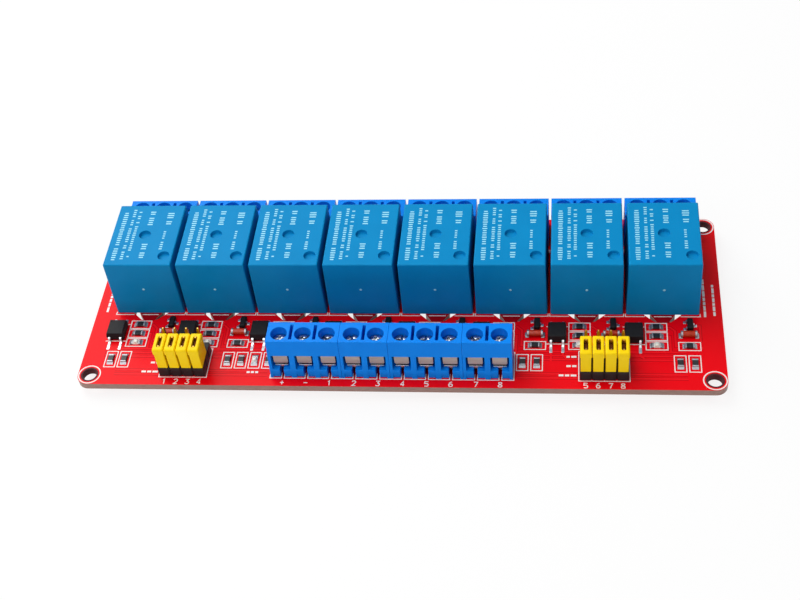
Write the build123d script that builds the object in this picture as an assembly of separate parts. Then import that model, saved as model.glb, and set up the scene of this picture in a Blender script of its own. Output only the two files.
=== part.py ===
"""Relay module board: a printed circuit board that carries a row of sealed relays, screw
terminals along both long edges, two fields of jumper pins and the small parts of each channel.

Millimetres. +X runs along the board, +Y towards the output terminals and +Z up, from the tips of
the soldered pins. The origin is under the middle of the board.
"""
import os

from build123d import *

# Small round features that repeat are drawn with this many flats
ROUND_FLATS = 12

# Channels: one relay, one output block and one set of small parts each
CHANNELS = 8
RELAY_GAP = 0.64  # between neighbouring relays, which fill the width of their channels
OUTPUT_GAP = 0.9  # between neighbouring output blocks

# Circuit board
BOARD_THICKNESS = 1.6
BOARD_END_MARGIN = 4.44  # from the outer channel to the end of the board
BOARD_FRONT_MARGIN = 2.28  # from the front edge to the input terminals
BOARD_REAR_MARGIN = 1.47  # from the output terminals to the rear edge
BOARD_CORNER_RADIUS = 2.5
MOUNT_HOLE_DIAMETER = 3.2
MOUNT_HOLE_INSET = 2.6
PIN_TAIL = 2.0  # soldered pins below the board
PIN_HOLE_CLEARANCE = 0.1  # on each side of a pin

# Relays: sealed moulded cases, wider at the foot than at the top
RELAY_LENGTH = 19.2
RELAY_HEIGHT = 15.2
RELAY_DRAFT = 0.8  # degrees on each side
DIMPLE_DIAMETER = 2.6
DIMPLE_DEPTH = 0.5
GATE_DIMPLE_INSET = (2.2, 3.1)  # from the right side and the front of the case
RELAY_PIN = 0.9
RELAY_PIN_INSET = 1.75  # coil and contact pins, from the side of the case
RELAY_COMMON_SETBACK = 2.3  # common pin, from the front of the case
RELAY_COIL_SETBACK = 4.3  # coil pins, from the front of the case
RELAY_CONTACT_SETBACK = 2.7  # contact pins, from the rear of the case

# Isolation slots milled through the board on both sides of each common pin
SLOT_TIP_OFFSET = 1.25  # from the relay's middle line to the narrow front end
SLOT_TIP_WIDTH = 0.45
SLOT_MOUTH_OFFSET = 2.6  # from the relay's middle line to the slot under the relay
SLOT_WIDTH = 1.4
SLOT_REACH_FRONT = 2.1  # in front of the relay
SLOT_REACH_UNDER = 2.6  # under the relay

# Screw terminals
POLE_PITCH = 5.08
INPUT_POLES = (3, 2, 3, 2)  # poles of each input block, from the left
OUTPUT_POLES = 3
BLOCK_GAP = 0.15  # between neighbouring input blocks
INPUT_ROW_SHIFT = -0.6  # middle of the input row, from the middle of the board
TERMINAL_DEPTH = 7.15
TERMINAL_HEIGHT = 9.7
TERMINAL_LEAN = 1.65  # how far the wire side leans back at the top
TERMINAL_BACK_WALL = 1.1
POLE_WALL = 1.2  # between neighbouring wire chambers
WELL_WALL = 1.58  # between neighbouring screw wells
WELL_SETBACK = 4.0  # from the foot of the wire side to the screw
CHAMBER_HEIGHT = 5.85  # top of the wire opening, above the board
SILL_HEIGHT = 2.2
SILL_SETBACK = 0.3  # sill behind the foot of the wire side
TOP_SLIT_WIDTH = 0.65
TOP_SLIT_LENGTH = 4.0
TOP_SLIT_DEPTH = 3.0
SCREW_CLEARANCE = 0.12
SCREW_HEIGHT = 1.9
GUARD_THICKNESS = 0.6
GUARD_SIDE_GAP = 0.4  # between the wire guard and the chamber wall
GUARD_FLAP = 3.0  # height of the flap behind the wire opening
GUARD_SETBACK = 1.3  # flap behind the foot of the wire side
GUARD_REAR_GAP = 0.15  # between the wire guard and the back wall
TERMINAL_PIN = 0.9
TERMINAL_PIN_RISE = 2.3  # above the board

# Spacing between the rows
STRIP_DEPTH = 11.2  # from the input terminals to the relays
RELAY_TO_OUTPUT = 1.55  # from the relays to the output terminals

# Jumper headers and caps
HEADER_PITCH = 2.54
HEADER_COLUMNS = 4
HEADER_ROWS = 3
HEADER_BASE_TRIM = 0.12  # base shorter than its whole pitches
HEADER_BASE_HEIGHT = 2.5
HEADER_PIN = 0.64
HEADER_PIN_RISE = 6.0  # above the base
HEADER_FRONT_SETBACK = 0.1  # base behind the foot of the input terminals
HEADER_BORE_CLEARANCE = 0.02  # on each side of a pin in its base
LEFT_HEADER_OFFSET = 19.4  # middle of the left header, from the end of the input row
RIGHT_HEADER_OFFSET = 18.9  # middle of the right header, from the end of the input row
CAP_GAP = 0.1  # between neighbouring caps
CAP_HEIGHT = 6.0
CAP_WALL = 0.45
CAP_TOP = 0.8
CAP_WINDOW_WIDTH = 1.0
CAP_NOTCH_WIDTH = 1.1
CAP_NOTCH_DEPTH = 0.6
CLIP_CLEARANCE = 0.04  # between a clip's leaf and the pin
CLIP_THICKNESS = 0.25
CLIP_HEIGHT = 4.2
CLIP_OVERHANG = 0.15  # leaf past the outer faces of the pins

# Small parts of each channel
CHIP_LENGTH = 2.0
CHIP_WIDTH = 1.25
RESISTOR_HEIGHT = 0.55
LED_HEIGHT = 0.8
DIODE_LENGTH = 3.5
DIODE_DIAMETER = 1.5
OPTO_WIDTH = 3.9
OPTO_LENGTH = 4.4
OPTO_HEIGHT = 2.0
OPTO_LEAD_PITCH = 2.54
OPTO_LEAD_WIDTH = 0.45
OPTO_LEAD_LENGTH = 1.35
TRANSISTOR_WIDTH = 1.3
TRANSISTOR_LENGTH = 2.9
TRANSISTOR_HEIGHT = 1.0
TRANSISTOR_LEAD_PITCH = 1.9
TRANSISTOR_LEAD_WIDTH = 0.42
TRANSISTOR_LEAD_LENGTH = 0.55
PACKAGE_STANDOFF = 0.1
LEAD_THICKNESS = 0.2

# Places of the small parts in a channel: from its left edge, its middle line or its right edge,
# and from the relay or the input terminals
OPTO_FROM_LEFT = 1.82
OPTO_SHIFT = 0.4  # from the middle of the strip, towards the input terminals
COLUMN_ACROSS = -1.52  # two resistors and the channel lamp in one column, from the middle line
COLUMN_PARTS = 3
COLUMN_FROM_RELAY = 3.6
COLUMN_FROM_INPUT = 2.4
TRANSISTOR_FROM_RIGHT = 2.47
TRANSISTOR_FROM_RELAY = 3.15
BASE_RESISTOR_FROM_RIGHT = 2.82
BASE_RESISTOR_FROM_INPUT = 2.3
DIODE_FROM_RIGHT = 2.87
DIODE_SHARE = 0.3  # of its free room, on the transistor's side

# Upright chips beside the input terminals
UPRIGHT_SETBACK = 4.7  # middle of the row, from the foot of the input terminals
UPRIGHT_PITCH = 3.0
LEFT_UPRIGHT_OFFSET = 1.3  # first chip to the left of the input row, from its end
UPRIGHT_COUNT = 4
POWER_LAMP_INDEX = 1  # which of those is the power lamp, counted from the row
RIGHT_UPRIGHT_OFFSET = 1.9
CORNER_UPRIGHT_INSET = 6.4  # outer chip of each corner pair, from the end of the board
PAIR_COUNT = 2

# Sizes and places that follow from the above
CHANNEL_PITCH = OUTPUT_POLES * POLE_PITCH + OUTPUT_GAP
RELAY_WIDTH = CHANNEL_PITCH - RELAY_GAP
WELL_DIAMETER = POLE_PITCH - WELL_WALL
BOARD_LENGTH = CHANNELS * CHANNEL_PITCH + 2 * BOARD_END_MARGIN
BOARD_DEPTH = (BOARD_FRONT_MARGIN + TERMINAL_DEPTH + STRIP_DEPTH + RELAY_LENGTH
               + RELAY_TO_OUTPUT + TERMINAL_DEPTH + BOARD_REAR_MARGIN)
BOARD_TOP = PIN_TAIL + BOARD_THICKNESS
INPUT_FOOT_Y = BOARD_FRONT_MARGIN - BOARD_DEPTH / 2
RELAY_FRONT_Y = INPUT_FOOT_Y + TERMINAL_DEPTH + STRIP_DEPTH
RELAY_REAR_Y = RELAY_FRONT_Y + RELAY_LENGTH
OUTPUT_FOOT_Y = RELAY_REAR_Y + RELAY_TO_OUTPUT + TERMINAL_DEPTH
INPUT_ROW = sum(INPUT_POLES) * POLE_PITCH + (len(INPUT_POLES) - 1) * BLOCK_GAP
INPUT_LEFT_X = INPUT_ROW_SHIFT - INPUT_ROW / 2
INPUT_RIGHT_X = INPUT_ROW_SHIFT + INPUT_ROW / 2
CHAMBER_WIDTH = POLE_PITCH - POLE_WALL
CHANNEL_X = [(i - (CHANNELS - 1) / 2) * CHANNEL_PITCH for i in range(CHANNELS)]
LEFT_HEADER_X = INPUT_LEFT_X - LEFT_HEADER_OFFSET
RIGHT_HEADER_X = INPUT_RIGHT_X + RIGHT_HEADER_OFFSET
HEADER_FRONT_Y = INPUT_FOOT_Y + HEADER_FRONT_SETBACK
HEADER_TOP = BOARD_TOP + HEADER_BASE_HEIGHT
FIRST_ROW_Y = HEADER_FRONT_Y + (HEADER_PITCH - HEADER_BASE_TRIM) / 2
CAP_MIDDLE_Y = FIRST_ROW_Y + HEADER_PITCH / 2
UPRIGHT_Y = INPUT_FOOT_Y + UPRIGHT_SETBACK
COLUMN_STEP = (STRIP_DEPTH - COLUMN_FROM_RELAY - COLUMN_FROM_INPUT) / (COLUMN_PARTS - 1)
BASE_RESISTOR_AHEAD = STRIP_DEPTH - BASE_RESISTOR_FROM_INPUT
DIODE_REAR = TRANSISTOR_FROM_RELAY + TRANSISTOR_LENGTH / 2
DIODE_ROOM = BASE_RESISTOR_AHEAD - CHIP_WIDTH / 2 - DIODE_REAR - DIODE_DIAMETER


def box(x, y, z, sx, sy, sz):
    """A block of the given size, centred on x and y, with its underside at z."""
    return Pos(x, y, z) * Box(sx, sy, sz, align=(Align.CENTER, Align.CENTER, Align.MIN))


def write(name, shapes):
    """Write one node, a single solid or a group of separate solids."""
    group = shapes if isinstance(shapes, list) else [shapes]
    whole = group[0] if len(group) == 1 else Compound(children=group)
    export_step(whole, os.path.join("parts", name + ".step"))


def disc(diameter):
    """The outline of a small round feature, drawn with flats."""
    return RegularPolygon(diameter / 2, ROUND_FLATS)


def relay_pin_places():
    """Places of the five pins of every relay."""
    side = RELAY_WIDTH / 2 - RELAY_PIN_INSET
    places = []
    for x in CHANNEL_X:
        places.append((x, RELAY_FRONT_Y + RELAY_COMMON_SETBACK))
        for offset in (-side, side):
            places.append((x + offset, RELAY_FRONT_Y + RELAY_COIL_SETBACK))
            places.append((x + offset, RELAY_REAR_Y - RELAY_CONTACT_SETBACK))
    return places


def terminal_blocks():
    """Middle, foot, turn about +Z and poles of each terminal block, input blocks first."""
    blocks = []
    left = INPUT_LEFT_X
    for poles in INPUT_POLES:
        width = poles * POLE_PITCH
        blocks.append((left + width / 2, INPUT_FOOT_Y, 0, poles))
        left += width + BLOCK_GAP
    blocks += [(x, OUTPUT_FOOT_Y, 180, OUTPUT_POLES) for x in CHANNEL_X]
    return blocks


def pole_offsets(poles):
    """Middle of each pole, from the middle of its block."""
    return [(i - (poles - 1) / 2) * POLE_PITCH for i in range(poles)]


def write_at_poles(name, piece):
    """Write copies of a piece modelled at one pole, at every input pole and every output pole."""
    for row, facing in (("input", 0), ("output", 180)):
        copies = [Pos(x, y, BOARD_TOP) * Rot(0, 0, turn) * Pos(offset, 0, 0) * piece
                  for x, y, turn, poles in terminal_blocks() if turn == facing
                  for offset in pole_offsets(poles)]
        write(f"{row}_{name}", copies)


def header_pin_places():
    """Places of the pins of both headers."""
    places = []
    for middle in (LEFT_HEADER_X, RIGHT_HEADER_X):
        for column in range(HEADER_COLUMNS):
            x = middle + (column - (HEADER_COLUMNS - 1) / 2) * HEADER_PITCH
            places += [(x, FIRST_ROW_Y + row * HEADER_PITCH) for row in range(HEADER_ROWS)]
    return places


def terminal_pin_places():
    """Places of the terminal pins, under the screws."""
    places = []
    for x, y, turn, poles in terminal_blocks():
        reach = WELL_SETBACK if turn == 0 else -WELL_SETBACK
        places += [(x + offset, y + reach) for offset in pole_offsets(poles)]
    return places


def isolation_slot(side):
    """Outline of one isolation slot: a straight run under the relay and a taper in front of it."""
    tip = SLOT_TIP_OFFSET
    mouth = SLOT_MOUTH_OFFSET
    outline = Polyline(
        (side * tip, -SLOT_REACH_FRONT),
        (side * (tip + SLOT_TIP_WIDTH), -SLOT_REACH_FRONT),
        (side * (mouth + SLOT_WIDTH), 0),
        (side * (mouth + SLOT_WIDTH), SLOT_REACH_UNDER),
        (side * mouth, SLOT_REACH_UNDER),
        (side * mouth, 0),
        close=True,
    )
    return make_face(outline)


def circuit_board():
    """The board with its mounting holes, isolation slots and a hole for every soldered pin."""
    sketch = RectangleRounded(BOARD_LENGTH, BOARD_DEPTH, BOARD_CORNER_RADIUS)
    hole_x = BOARD_LENGTH - 2 * MOUNT_HOLE_INSET
    hole_y = BOARD_DEPTH - 2 * MOUNT_HOLE_INSET
    sketch -= GridLocations(hole_x, hole_y, 2, 2) * Circle(MOUNT_HOLE_DIAMETER / 2)
    for side in (-1, 1):
        sketch -= [Pos(x, RELAY_FRONT_Y) * isolation_slot(side) for x in CHANNEL_X]
    pins = ((relay_pin_places(), RELAY_PIN), (terminal_pin_places(), TERMINAL_PIN),
            (header_pin_places(), HEADER_PIN))
    for places, size in pins:
        hole = size + 2 * PIN_HOLE_CLEARANCE
        sketch -= [Pos(x, y) * Rectangle(hole, hole) for x, y in places]
    return Pos(0, 0, PIN_TAIL) * extrude(sketch, BOARD_THICKNESS)


def relay(x):
    """One sealed relay case: drafted sides and two shallow dimples moulded in its top."""
    case = extrude(Rectangle(RELAY_WIDTH, RELAY_LENGTH), RELAY_HEIGHT, taper=RELAY_DRAFT)
    gate_x, gate_y = GATE_DIMPLE_INSET
    for place in ((0, 0), (RELAY_WIDTH / 2 - gate_x, gate_y - RELAY_LENGTH / 2)):
        case -= extrude(Pos(*place, RELAY_HEIGHT) * disc(DIMPLE_DIAMETER), -DIMPLE_DEPTH)
    return Pos(x, RELAY_FRONT_Y + RELAY_LENGTH / 2, BOARD_TOP) * case


def terminal_housing(poles):
    """A moulded block: screw wells in the top, slits between poles, wire chambers with sills.

    It stands on z = 0 with the foot of its wire side on y = 0.
    """
    width = poles * POLE_PITCH
    side = Plane.YZ * make_face(Polyline(
        (0, 0), (TERMINAL_DEPTH, 0), (TERMINAL_DEPTH, TERMINAL_HEIGHT),
        (TERMINAL_LEAN, TERMINAL_HEIGHT), close=True))
    block = Pos(-width / 2, 0, 0) * extrude(side, width, dir=(1, 0, 0))
    depth = TERMINAL_DEPTH - TERMINAL_BACK_WALL
    slit_width = TERMINAL_PIN + 2 * PIN_HOLE_CLEARANCE
    slit_end = WELL_SETBACK + slit_width / 2
    for x in pole_offsets(poles):
        block -= box(x, depth / 2, SILL_HEIGHT, CHAMBER_WIDTH, depth, CHAMBER_HEIGHT - SILL_HEIGHT)
        block -= box(x, SILL_SETBACK / 2, 0, CHAMBER_WIDTH, SILL_SETBACK, CHAMBER_HEIGHT)
        block -= box(x, slit_end / 2, 0, slit_width, slit_end, CHAMBER_HEIGHT)
        well = Pos(x, WELL_SETBACK, CHAMBER_HEIGHT) * disc(WELL_DIAMETER)
        block -= extrude(well, TERMINAL_HEIGHT - CHAMBER_HEIGHT)
    slit_y = (TERMINAL_LEAN + TERMINAL_DEPTH) / 2
    for x in pole_offsets(poles)[1:]:
        block -= box(x - POLE_PITCH / 2, slit_y, TERMINAL_HEIGHT - TOP_SLIT_DEPTH,
                     TOP_SLIT_WIDTH, TOP_SLIT_LENGTH, TOP_SLIT_DEPTH)
    return block


def terminal_screw():
    """The head of a clamping screw, standing on the wire guard inside its well."""
    head = disc(WELL_DIAMETER - 2 * SCREW_CLEARANCE)
    return Pos(0, WELL_SETBACK, CHAMBER_HEIGHT) * extrude(head, SCREW_HEIGHT)


def wire_guard():
    """A bent strip: a plate under the screw, with a flap down behind the wire opening."""
    top = CHAMBER_HEIGHT
    front = GUARD_SETBACK
    inner = front + GUARD_THICKNESS
    rear = TERMINAL_DEPTH - TERMINAL_BACK_WALL - GUARD_REAR_GAP
    side = Plane.YZ * make_face(Polyline(
        (front, top), (front, top - GUARD_FLAP), (inner, top - GUARD_FLAP),
        (inner, top - GUARD_THICKNESS), (rear, top - GUARD_THICKNESS), (rear, top), close=True))
    width = CHAMBER_WIDTH - 2 * GUARD_SIDE_GAP
    return Pos(-width / 2, 0, 0) * extrude(side, width, dir=(1, 0, 0))


def terminal_pin():
    """The soldered pin of one pole, standing in the slit of the chamber floor."""
    return box(0, WELL_SETBACK, -BOARD_TOP, TERMINAL_PIN, TERMINAL_PIN, BOARD_TOP + TERMINAL_PIN_RISE)


def header_base(middle):
    """The moulded base of one header, with a bore for every pin."""
    sx = HEADER_COLUMNS * HEADER_PITCH - HEADER_BASE_TRIM
    sy = HEADER_ROWS * HEADER_PITCH - HEADER_BASE_TRIM
    base = box(middle, HEADER_FRONT_Y + sy / 2, BOARD_TOP, sx, sy, HEADER_BASE_HEIGHT)
    bore = HEADER_PIN + 2 * HEADER_BORE_CLEARANCE
    bores = [box(x, y, BOARD_TOP, bore, bore, HEADER_BASE_HEIGHT)
             for x, y in header_pin_places() if abs(x - middle) < sx / 2]
    return base - bores


def jumper_cap():
    """A cap over two pins, open below, with a window and a notch across its top."""
    sx = HEADER_PITCH - CAP_GAP
    sy = 2 * HEADER_PITCH - CAP_GAP
    room = CAP_HEIGHT - CAP_TOP
    cap = box(0, 0, 0, sx, sy, CAP_HEIGHT)
    cap -= box(0, 0, 0, sx - 2 * CAP_WALL, sy - 2 * CAP_WALL, room)
    cap -= box(0, 0, room, CAP_WINDOW_WIDTH, HEADER_PITCH + CAP_WINDOW_WIDTH, CAP_TOP)
    cap -= box(0, 0, CAP_HEIGHT - CAP_NOTCH_DEPTH, sx, CAP_NOTCH_WIDTH, CAP_NOTCH_DEPTH)
    return cap


def jumper_clip():
    """The contact inside a cap: a leaf on each side of the pins and a bridge between them."""
    inner = HEADER_PIN / 2 + CLIP_CLEARANCE
    leaf_x = inner + CLIP_THICKNESS / 2
    leaf_y = HEADER_PITCH + HEADER_PIN + 2 * CLIP_OVERHANG
    room = CAP_HEIGHT - CAP_TOP
    bridge_y = HEADER_PITCH - HEADER_PIN - 2 * CLIP_CLEARANCE
    clip = box(0, 0, room - CLIP_THICKNESS, 2 * inner, bridge_y, CLIP_THICKNESS)
    for side in (-1, 1):
        clip += box(side * leaf_x, 0, room - CLIP_HEIGHT, CLIP_THICKNESS, leaf_y, CLIP_HEIGHT)
    return clip


def channel_places(across, ahead):
    """The same place in every channel: across from its middle line, and ahead of the relay."""
    return [(x + across, RELAY_FRONT_Y - ahead) for x in CHANNEL_X]


def upright_places():
    """Places of the chips that stand in a row beside the input terminals, and of the power lamp."""
    step = UPRIGHT_PITCH
    left = [INPUT_LEFT_X - LEFT_UPRIGHT_OFFSET - i * step for i in range(UPRIGHT_COUNT)]
    lamp = left.pop(POWER_LAMP_INDEX)
    row = left + [INPUT_RIGHT_X + RIGHT_UPRIGHT_OFFSET + i * step for i in range(PAIR_COUNT)]
    for side in (-1, 1):
        outer = BOARD_LENGTH / 2 - CORNER_UPRIGHT_INSET
        row += [side * (outer - i * step) for i in range(PAIR_COUNT)]
    return row, lamp


def packages(places, width, length, height):
    """Moulded packages, standing just clear of the board."""
    base = BOARD_TOP + PACKAGE_STANDOFF
    return [box(x, y, base, width, length, height) for x, y in places]


def main():
    """Build and write every node."""
    os.makedirs("parts", exist_ok=True)
    write("circuit_board", circuit_board())

    for number, x in enumerate(CHANNEL_X, 1):
        write(f"relay_{number}", relay(x))
    write("relay_pins", [box(x, y, 0, RELAY_PIN, RELAY_PIN, BOARD_TOP) for x, y in relay_pin_places()])

    housings = {poles: terminal_housing(poles) for poles in {*INPUT_POLES, OUTPUT_POLES}}
    for number, (x, y, turn, poles) in enumerate(terminal_blocks(), 1):
        row = f"input_terminal_{number}" if turn == 0 else f"output_terminal_{number - len(INPUT_POLES)}"
        write(row, Pos(x, y, BOARD_TOP) * Rot(0, 0, turn) * housings[poles])
    write_at_poles("terminal_screws", terminal_screw())
    write_at_poles("wire_guards", wire_guard())
    write_at_poles("terminal_pins", terminal_pin())

    write("left_header_base", header_base(LEFT_HEADER_X))
    write("right_header_base", header_base(RIGHT_HEADER_X))
    write("header_pins", [box(x, y, 0, HEADER_PIN, HEADER_PIN, HEADER_TOP + HEADER_PIN_RISE)
                          for x, y in header_pin_places()])
    columns = header_pin_places()[::HEADER_ROWS]
    for number, (x, _) in enumerate(columns, 1):
        seat = Pos(x, CAP_MIDDLE_Y, HEADER_TOP)
        write(f"jumper_cap_{number}", seat * jumper_cap())
        write(f"jumper_clip_{number}", seat * jumper_clip())

    edge = CHANNEL_PITCH / 2
    optos = channel_places(OPTO_FROM_LEFT - edge, STRIP_DEPTH / 2 + OPTO_SHIFT)
    write("optocouplers", packages(optos, OPTO_WIDTH, OPTO_LENGTH, OPTO_HEIGHT))
    reach = (OPTO_LENGTH + OPTO_LEAD_LENGTH) / 2
    write("optocoupler_leads", [
        box(x + i * OPTO_LEAD_PITCH / 2, y + j * reach, BOARD_TOP,
            OPTO_LEAD_WIDTH, OPTO_LEAD_LENGTH, LEAD_THICKNESS)
        for x, y in optos for i in (-1, 1) for j in (-1, 1)])

    transistors = channel_places(edge - TRANSISTOR_FROM_RIGHT, TRANSISTOR_FROM_RELAY)
    write("transistors", packages(transistors, TRANSISTOR_WIDTH, TRANSISTOR_LENGTH, TRANSISTOR_HEIGHT))
    reach = (TRANSISTOR_WIDTH + TRANSISTOR_LEAD_LENGTH) / 2
    feet = ((-reach, -TRANSISTOR_LEAD_PITCH / 2), (-reach, TRANSISTOR_LEAD_PITCH / 2), (reach, 0))
    write("transistor_leads", [
        box(x + dx, y + dy, BOARD_TOP, TRANSISTOR_LEAD_LENGTH, TRANSISTOR_LEAD_WIDTH, LEAD_THICKNESS)
        for x, y in transistors for dx, dy in feet])

    section = Plane.YZ * Rot(0, 0, 180 / ROUND_FLATS) * disc(DIODE_DIAMETER)
    glass = extrude(section, DIODE_LENGTH / 2, both=True)
    seat = BOARD_TOP - glass.bounding_box().min.Z
    ahead = DIODE_REAR + DIODE_DIAMETER / 2 + DIODE_SHARE * DIODE_ROOM
    write("diodes", [Pos(x, y, seat) * glass for x, y in channel_places(edge - DIODE_FROM_RIGHT, ahead)])

    flat = channel_places(edge - BASE_RESISTOR_FROM_RIGHT, BASE_RESISTOR_AHEAD)
    steps = [COLUMN_FROM_RELAY + i * COLUMN_STEP for i in range(COLUMN_PARTS)]
    for ahead in steps[:-1]:
        flat += channel_places(COLUMN_ACROSS, ahead)
    lamps = channel_places(COLUMN_ACROSS, steps[-1])
    upright, lamp = upright_places()
    resistors = [box(x, y, BOARD_TOP, CHIP_LENGTH, CHIP_WIDTH, RESISTOR_HEIGHT) for x, y in flat]
    resistors += [box(x, UPRIGHT_Y, BOARD_TOP, CHIP_WIDTH, CHIP_LENGTH, RESISTOR_HEIGHT) for x in upright]
    write("chip_resistors", resistors)
    write("channel_lamps", [box(x, y, BOARD_TOP, CHIP_LENGTH, CHIP_WIDTH, LED_HEIGHT) for x, y in lamps])
    write("power_lamp", box(lamp, UPRIGHT_Y, BOARD_TOP, CHIP_WIDTH, CHIP_LENGTH, LED_HEIGHT))


main()
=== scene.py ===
"""Looks of a relay module board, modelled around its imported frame.

Sizes are in millimetres until a mesh is made. +X runs along the board, +Y towards the output
terminals and +Z up. Shapes are surfaces over grids of points, worked out as whole arrays.
"""

import logging
import math
from collections.abc import Sequence
from dataclasses import dataclass, field
from enum import Enum
from typing import ClassVar, NamedTuple

import bmesh
import bpy
import numpy as np
from mathutils import Matrix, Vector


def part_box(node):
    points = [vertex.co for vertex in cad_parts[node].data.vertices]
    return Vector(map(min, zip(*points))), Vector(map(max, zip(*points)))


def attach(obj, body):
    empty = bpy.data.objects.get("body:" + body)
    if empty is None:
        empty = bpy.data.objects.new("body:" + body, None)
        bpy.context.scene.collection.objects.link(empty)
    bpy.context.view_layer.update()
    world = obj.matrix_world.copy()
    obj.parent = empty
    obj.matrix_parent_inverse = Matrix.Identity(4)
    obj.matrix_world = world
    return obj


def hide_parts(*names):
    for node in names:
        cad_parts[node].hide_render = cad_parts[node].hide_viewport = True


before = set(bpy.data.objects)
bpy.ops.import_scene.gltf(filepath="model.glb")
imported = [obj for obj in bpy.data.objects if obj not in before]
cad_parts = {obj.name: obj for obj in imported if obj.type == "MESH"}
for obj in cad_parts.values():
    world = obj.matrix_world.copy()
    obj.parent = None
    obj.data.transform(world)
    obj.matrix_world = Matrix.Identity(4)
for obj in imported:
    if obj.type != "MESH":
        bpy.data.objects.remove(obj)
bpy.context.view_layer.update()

MM = 0.001
LOG = logging.getLogger("relay_board")
Array = np.ndarray
Span = tuple[Array, Array]
Point = tuple[float, float]
Triple = tuple[float, float, float]
Line = Sequence[Point] | Array
Values = Sequence[float] | Array
CHANNELS = range(1, 9)
INPUT_BLOCKS = range(1, 5)
HEADERS = ("left_header_base", "right_header_base")
CUT = 1.0  # how far a cutting form reaches past the surface that it cuts
OVERLAP = 0.5  # how far one cut reaches into another
MERGE = 1e-4  # points nearer to each other than this are one
LEAST_CORNER = 0.02  # radius that a drawn-in corner keeps
SHARPEST_MITRE = 0.4  # least cosine of half a turn, so that a sharp bend gets no long point
ROUND_OVER = math.radians(38)  # edges sharper than this are rounded
SMOOTH_UNDER = math.radians(52)  # edges flatter than this are shaded smooth


class Body(Enum):
    """Bodies that pieces ride on; a jumper's number is added to its name."""

    MODULE = "module"
    JUMPER = "jumper_"


# Shapes


@dataclass
class Skin:
    """A surface of polygons, in millimetres.

    points is (n, 3); corners lists the points of every face, one face after another; sizes says
    how many corners each face has.
    """

    points: Array
    corners: Array
    sizes: Array

    def moved(self, x: float = 0.0, y: float = 0.0, z: float = 0.0) -> "Skin":
        """The same surface, shifted."""
        return Skin(self.points + (x, y, z), self.corners, self.sizes)

    def laid(self, order: Sequence[int]) -> "Skin":
        """The same surface with its axes in another order; an even order keeps it the right way out."""
        return Skin(self.points[:, list(order)], self.corners, self.sizes)

    def tipped(self) -> "Skin":
        """The same surface, turned a quarter about +X so that its top faces -Y."""
        return Skin(self.points[:, [0, 2, 1]] * (1, -1, 1), self.corners, self.sizes)

    def at(self, places: Sequence, turns: Sequence[float] | float = 0.0) -> "Skin":
        """Copies of the surface: each point is turned about +Z and then shifted to each place.

        Args:
            places: one x, y, z for each copy.
            turns: degrees about +Z, one for each copy or one for all.

        Returns:
            One surface with all the copies.
        """
        spots = np.asarray(places, float).reshape(-1, 3)
        angle = np.radians(np.broadcast_to(turns, len(spots)))
        x, y, z = self.points.T
        grid = np.stack([
            np.outer(np.cos(angle), x) - np.outer(np.sin(angle), y),
            np.outer(np.sin(angle), x) + np.outer(np.cos(angle), y),
            np.broadcast_to(z, (len(spots), len(z))),
        ], axis=-1) + spots[:, None]
        first = len(self.points) * np.arange(len(spots))[:, None]
        return Skin(grid.reshape(-1, 3), (self.corners + first).ravel(), np.tile(self.sizes, len(spots)))

    def turned(self, degrees: float) -> "Skin":
        """The same surface, turned about +Z."""
        return self.at([(0, 0, 0)], degrees)

    def paired(self) -> "Skin":
        """The surface and a copy of it that is turned half round about +Z."""
        return self + self.turned(180.0)

    def __add__(self, other: "Skin") -> "Skin":
        """Both surfaces in one: the other's faces count their points after this one's.

        Args:
            other: the surface to add.

        Returns:
            One surface with the faces of both.
        """
        return Skin(
            np.concatenate([self.points, other.points]),
            np.concatenate([self.corners, other.corners + len(self.points)]),
            np.concatenate([self.sizes, other.sizes]),
        )


def join(skins: Sequence[Skin]) -> Skin:
    """Several surfaces in one."""
    return sum(skins[1:], skins[0])


def sheet(grid: Array, wrap_columns: bool = False, wrap_rows: bool = False) -> Skin:
    """Quads over a grid of points: each joins a point with those in the next row and column.

    Args:
        grid: points as (rows, columns, 3); a face looks along column step x row step.
        wrap_columns: whether the last column joins the first.
        wrap_rows: whether the last row joins the first.

    Returns:
        The surface over the grid.
    """
    number = np.arange(grid.shape[0] * grid.shape[1]).reshape(grid.shape[:2])
    if wrap_columns:
        number = np.concatenate([number, number[:, :1]], axis=1)
    if wrap_rows:
        number = np.concatenate([number, number[:1]], axis=0)
    quads = np.stack([number[:-1, :-1], number[:-1, 1:], number[1:, 1:], number[1:, :-1]], axis=-1)
    quads = quads.reshape(-1, 4)
    return Skin(grid.reshape(-1, 3), quads.ravel(), np.full(len(quads), 4))


def cap(loop: Array, up: bool = True) -> Skin:
    """One flat face over a loop that runs anticlockwise seen from its upper side."""
    order = np.arange(len(loop))
    return Skin(loop, order if up else order[::-1], np.array([len(loop)]))


def solid(loops: Array) -> Skin:
    """A closed form: the sheet over a stack of loops, with a flat face over each end."""
    return sheet(loops, wrap_columns=True) + cap(loops[0], up=False) + cap(loops[-1])


def level(outline: Array, z: float) -> Array:
    """A flat outline (n, 2) lifted to height z."""
    return np.column_stack([outline, np.full(len(outline), z)])


def rounded(sx: float, sy: float, radius: float, steps: int = 4) -> Array:
    """A rectangle with quarter circles at its corners: corner centre + radius (cos t, sin t).

    Args:
        sx: length along x.
        sy: length along y.
        radius: radius of the corners.
        steps: runs along each quarter circle.

    Returns:
        The outline as (n, 2), anticlockwise.
    """
    turn = np.linspace(0, np.pi / 2, steps + 1) + np.arange(4)[:, None] * np.pi / 2
    centre = np.array([[1, 1], [-1, 1], [-1, -1], [1, -1]]) * (sx / 2 - radius, sy / 2 - radius)
    return (centre[:, None] + radius * np.stack([np.cos(turn), np.sin(turn)], axis=-1)).reshape(-1, 2)


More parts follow.
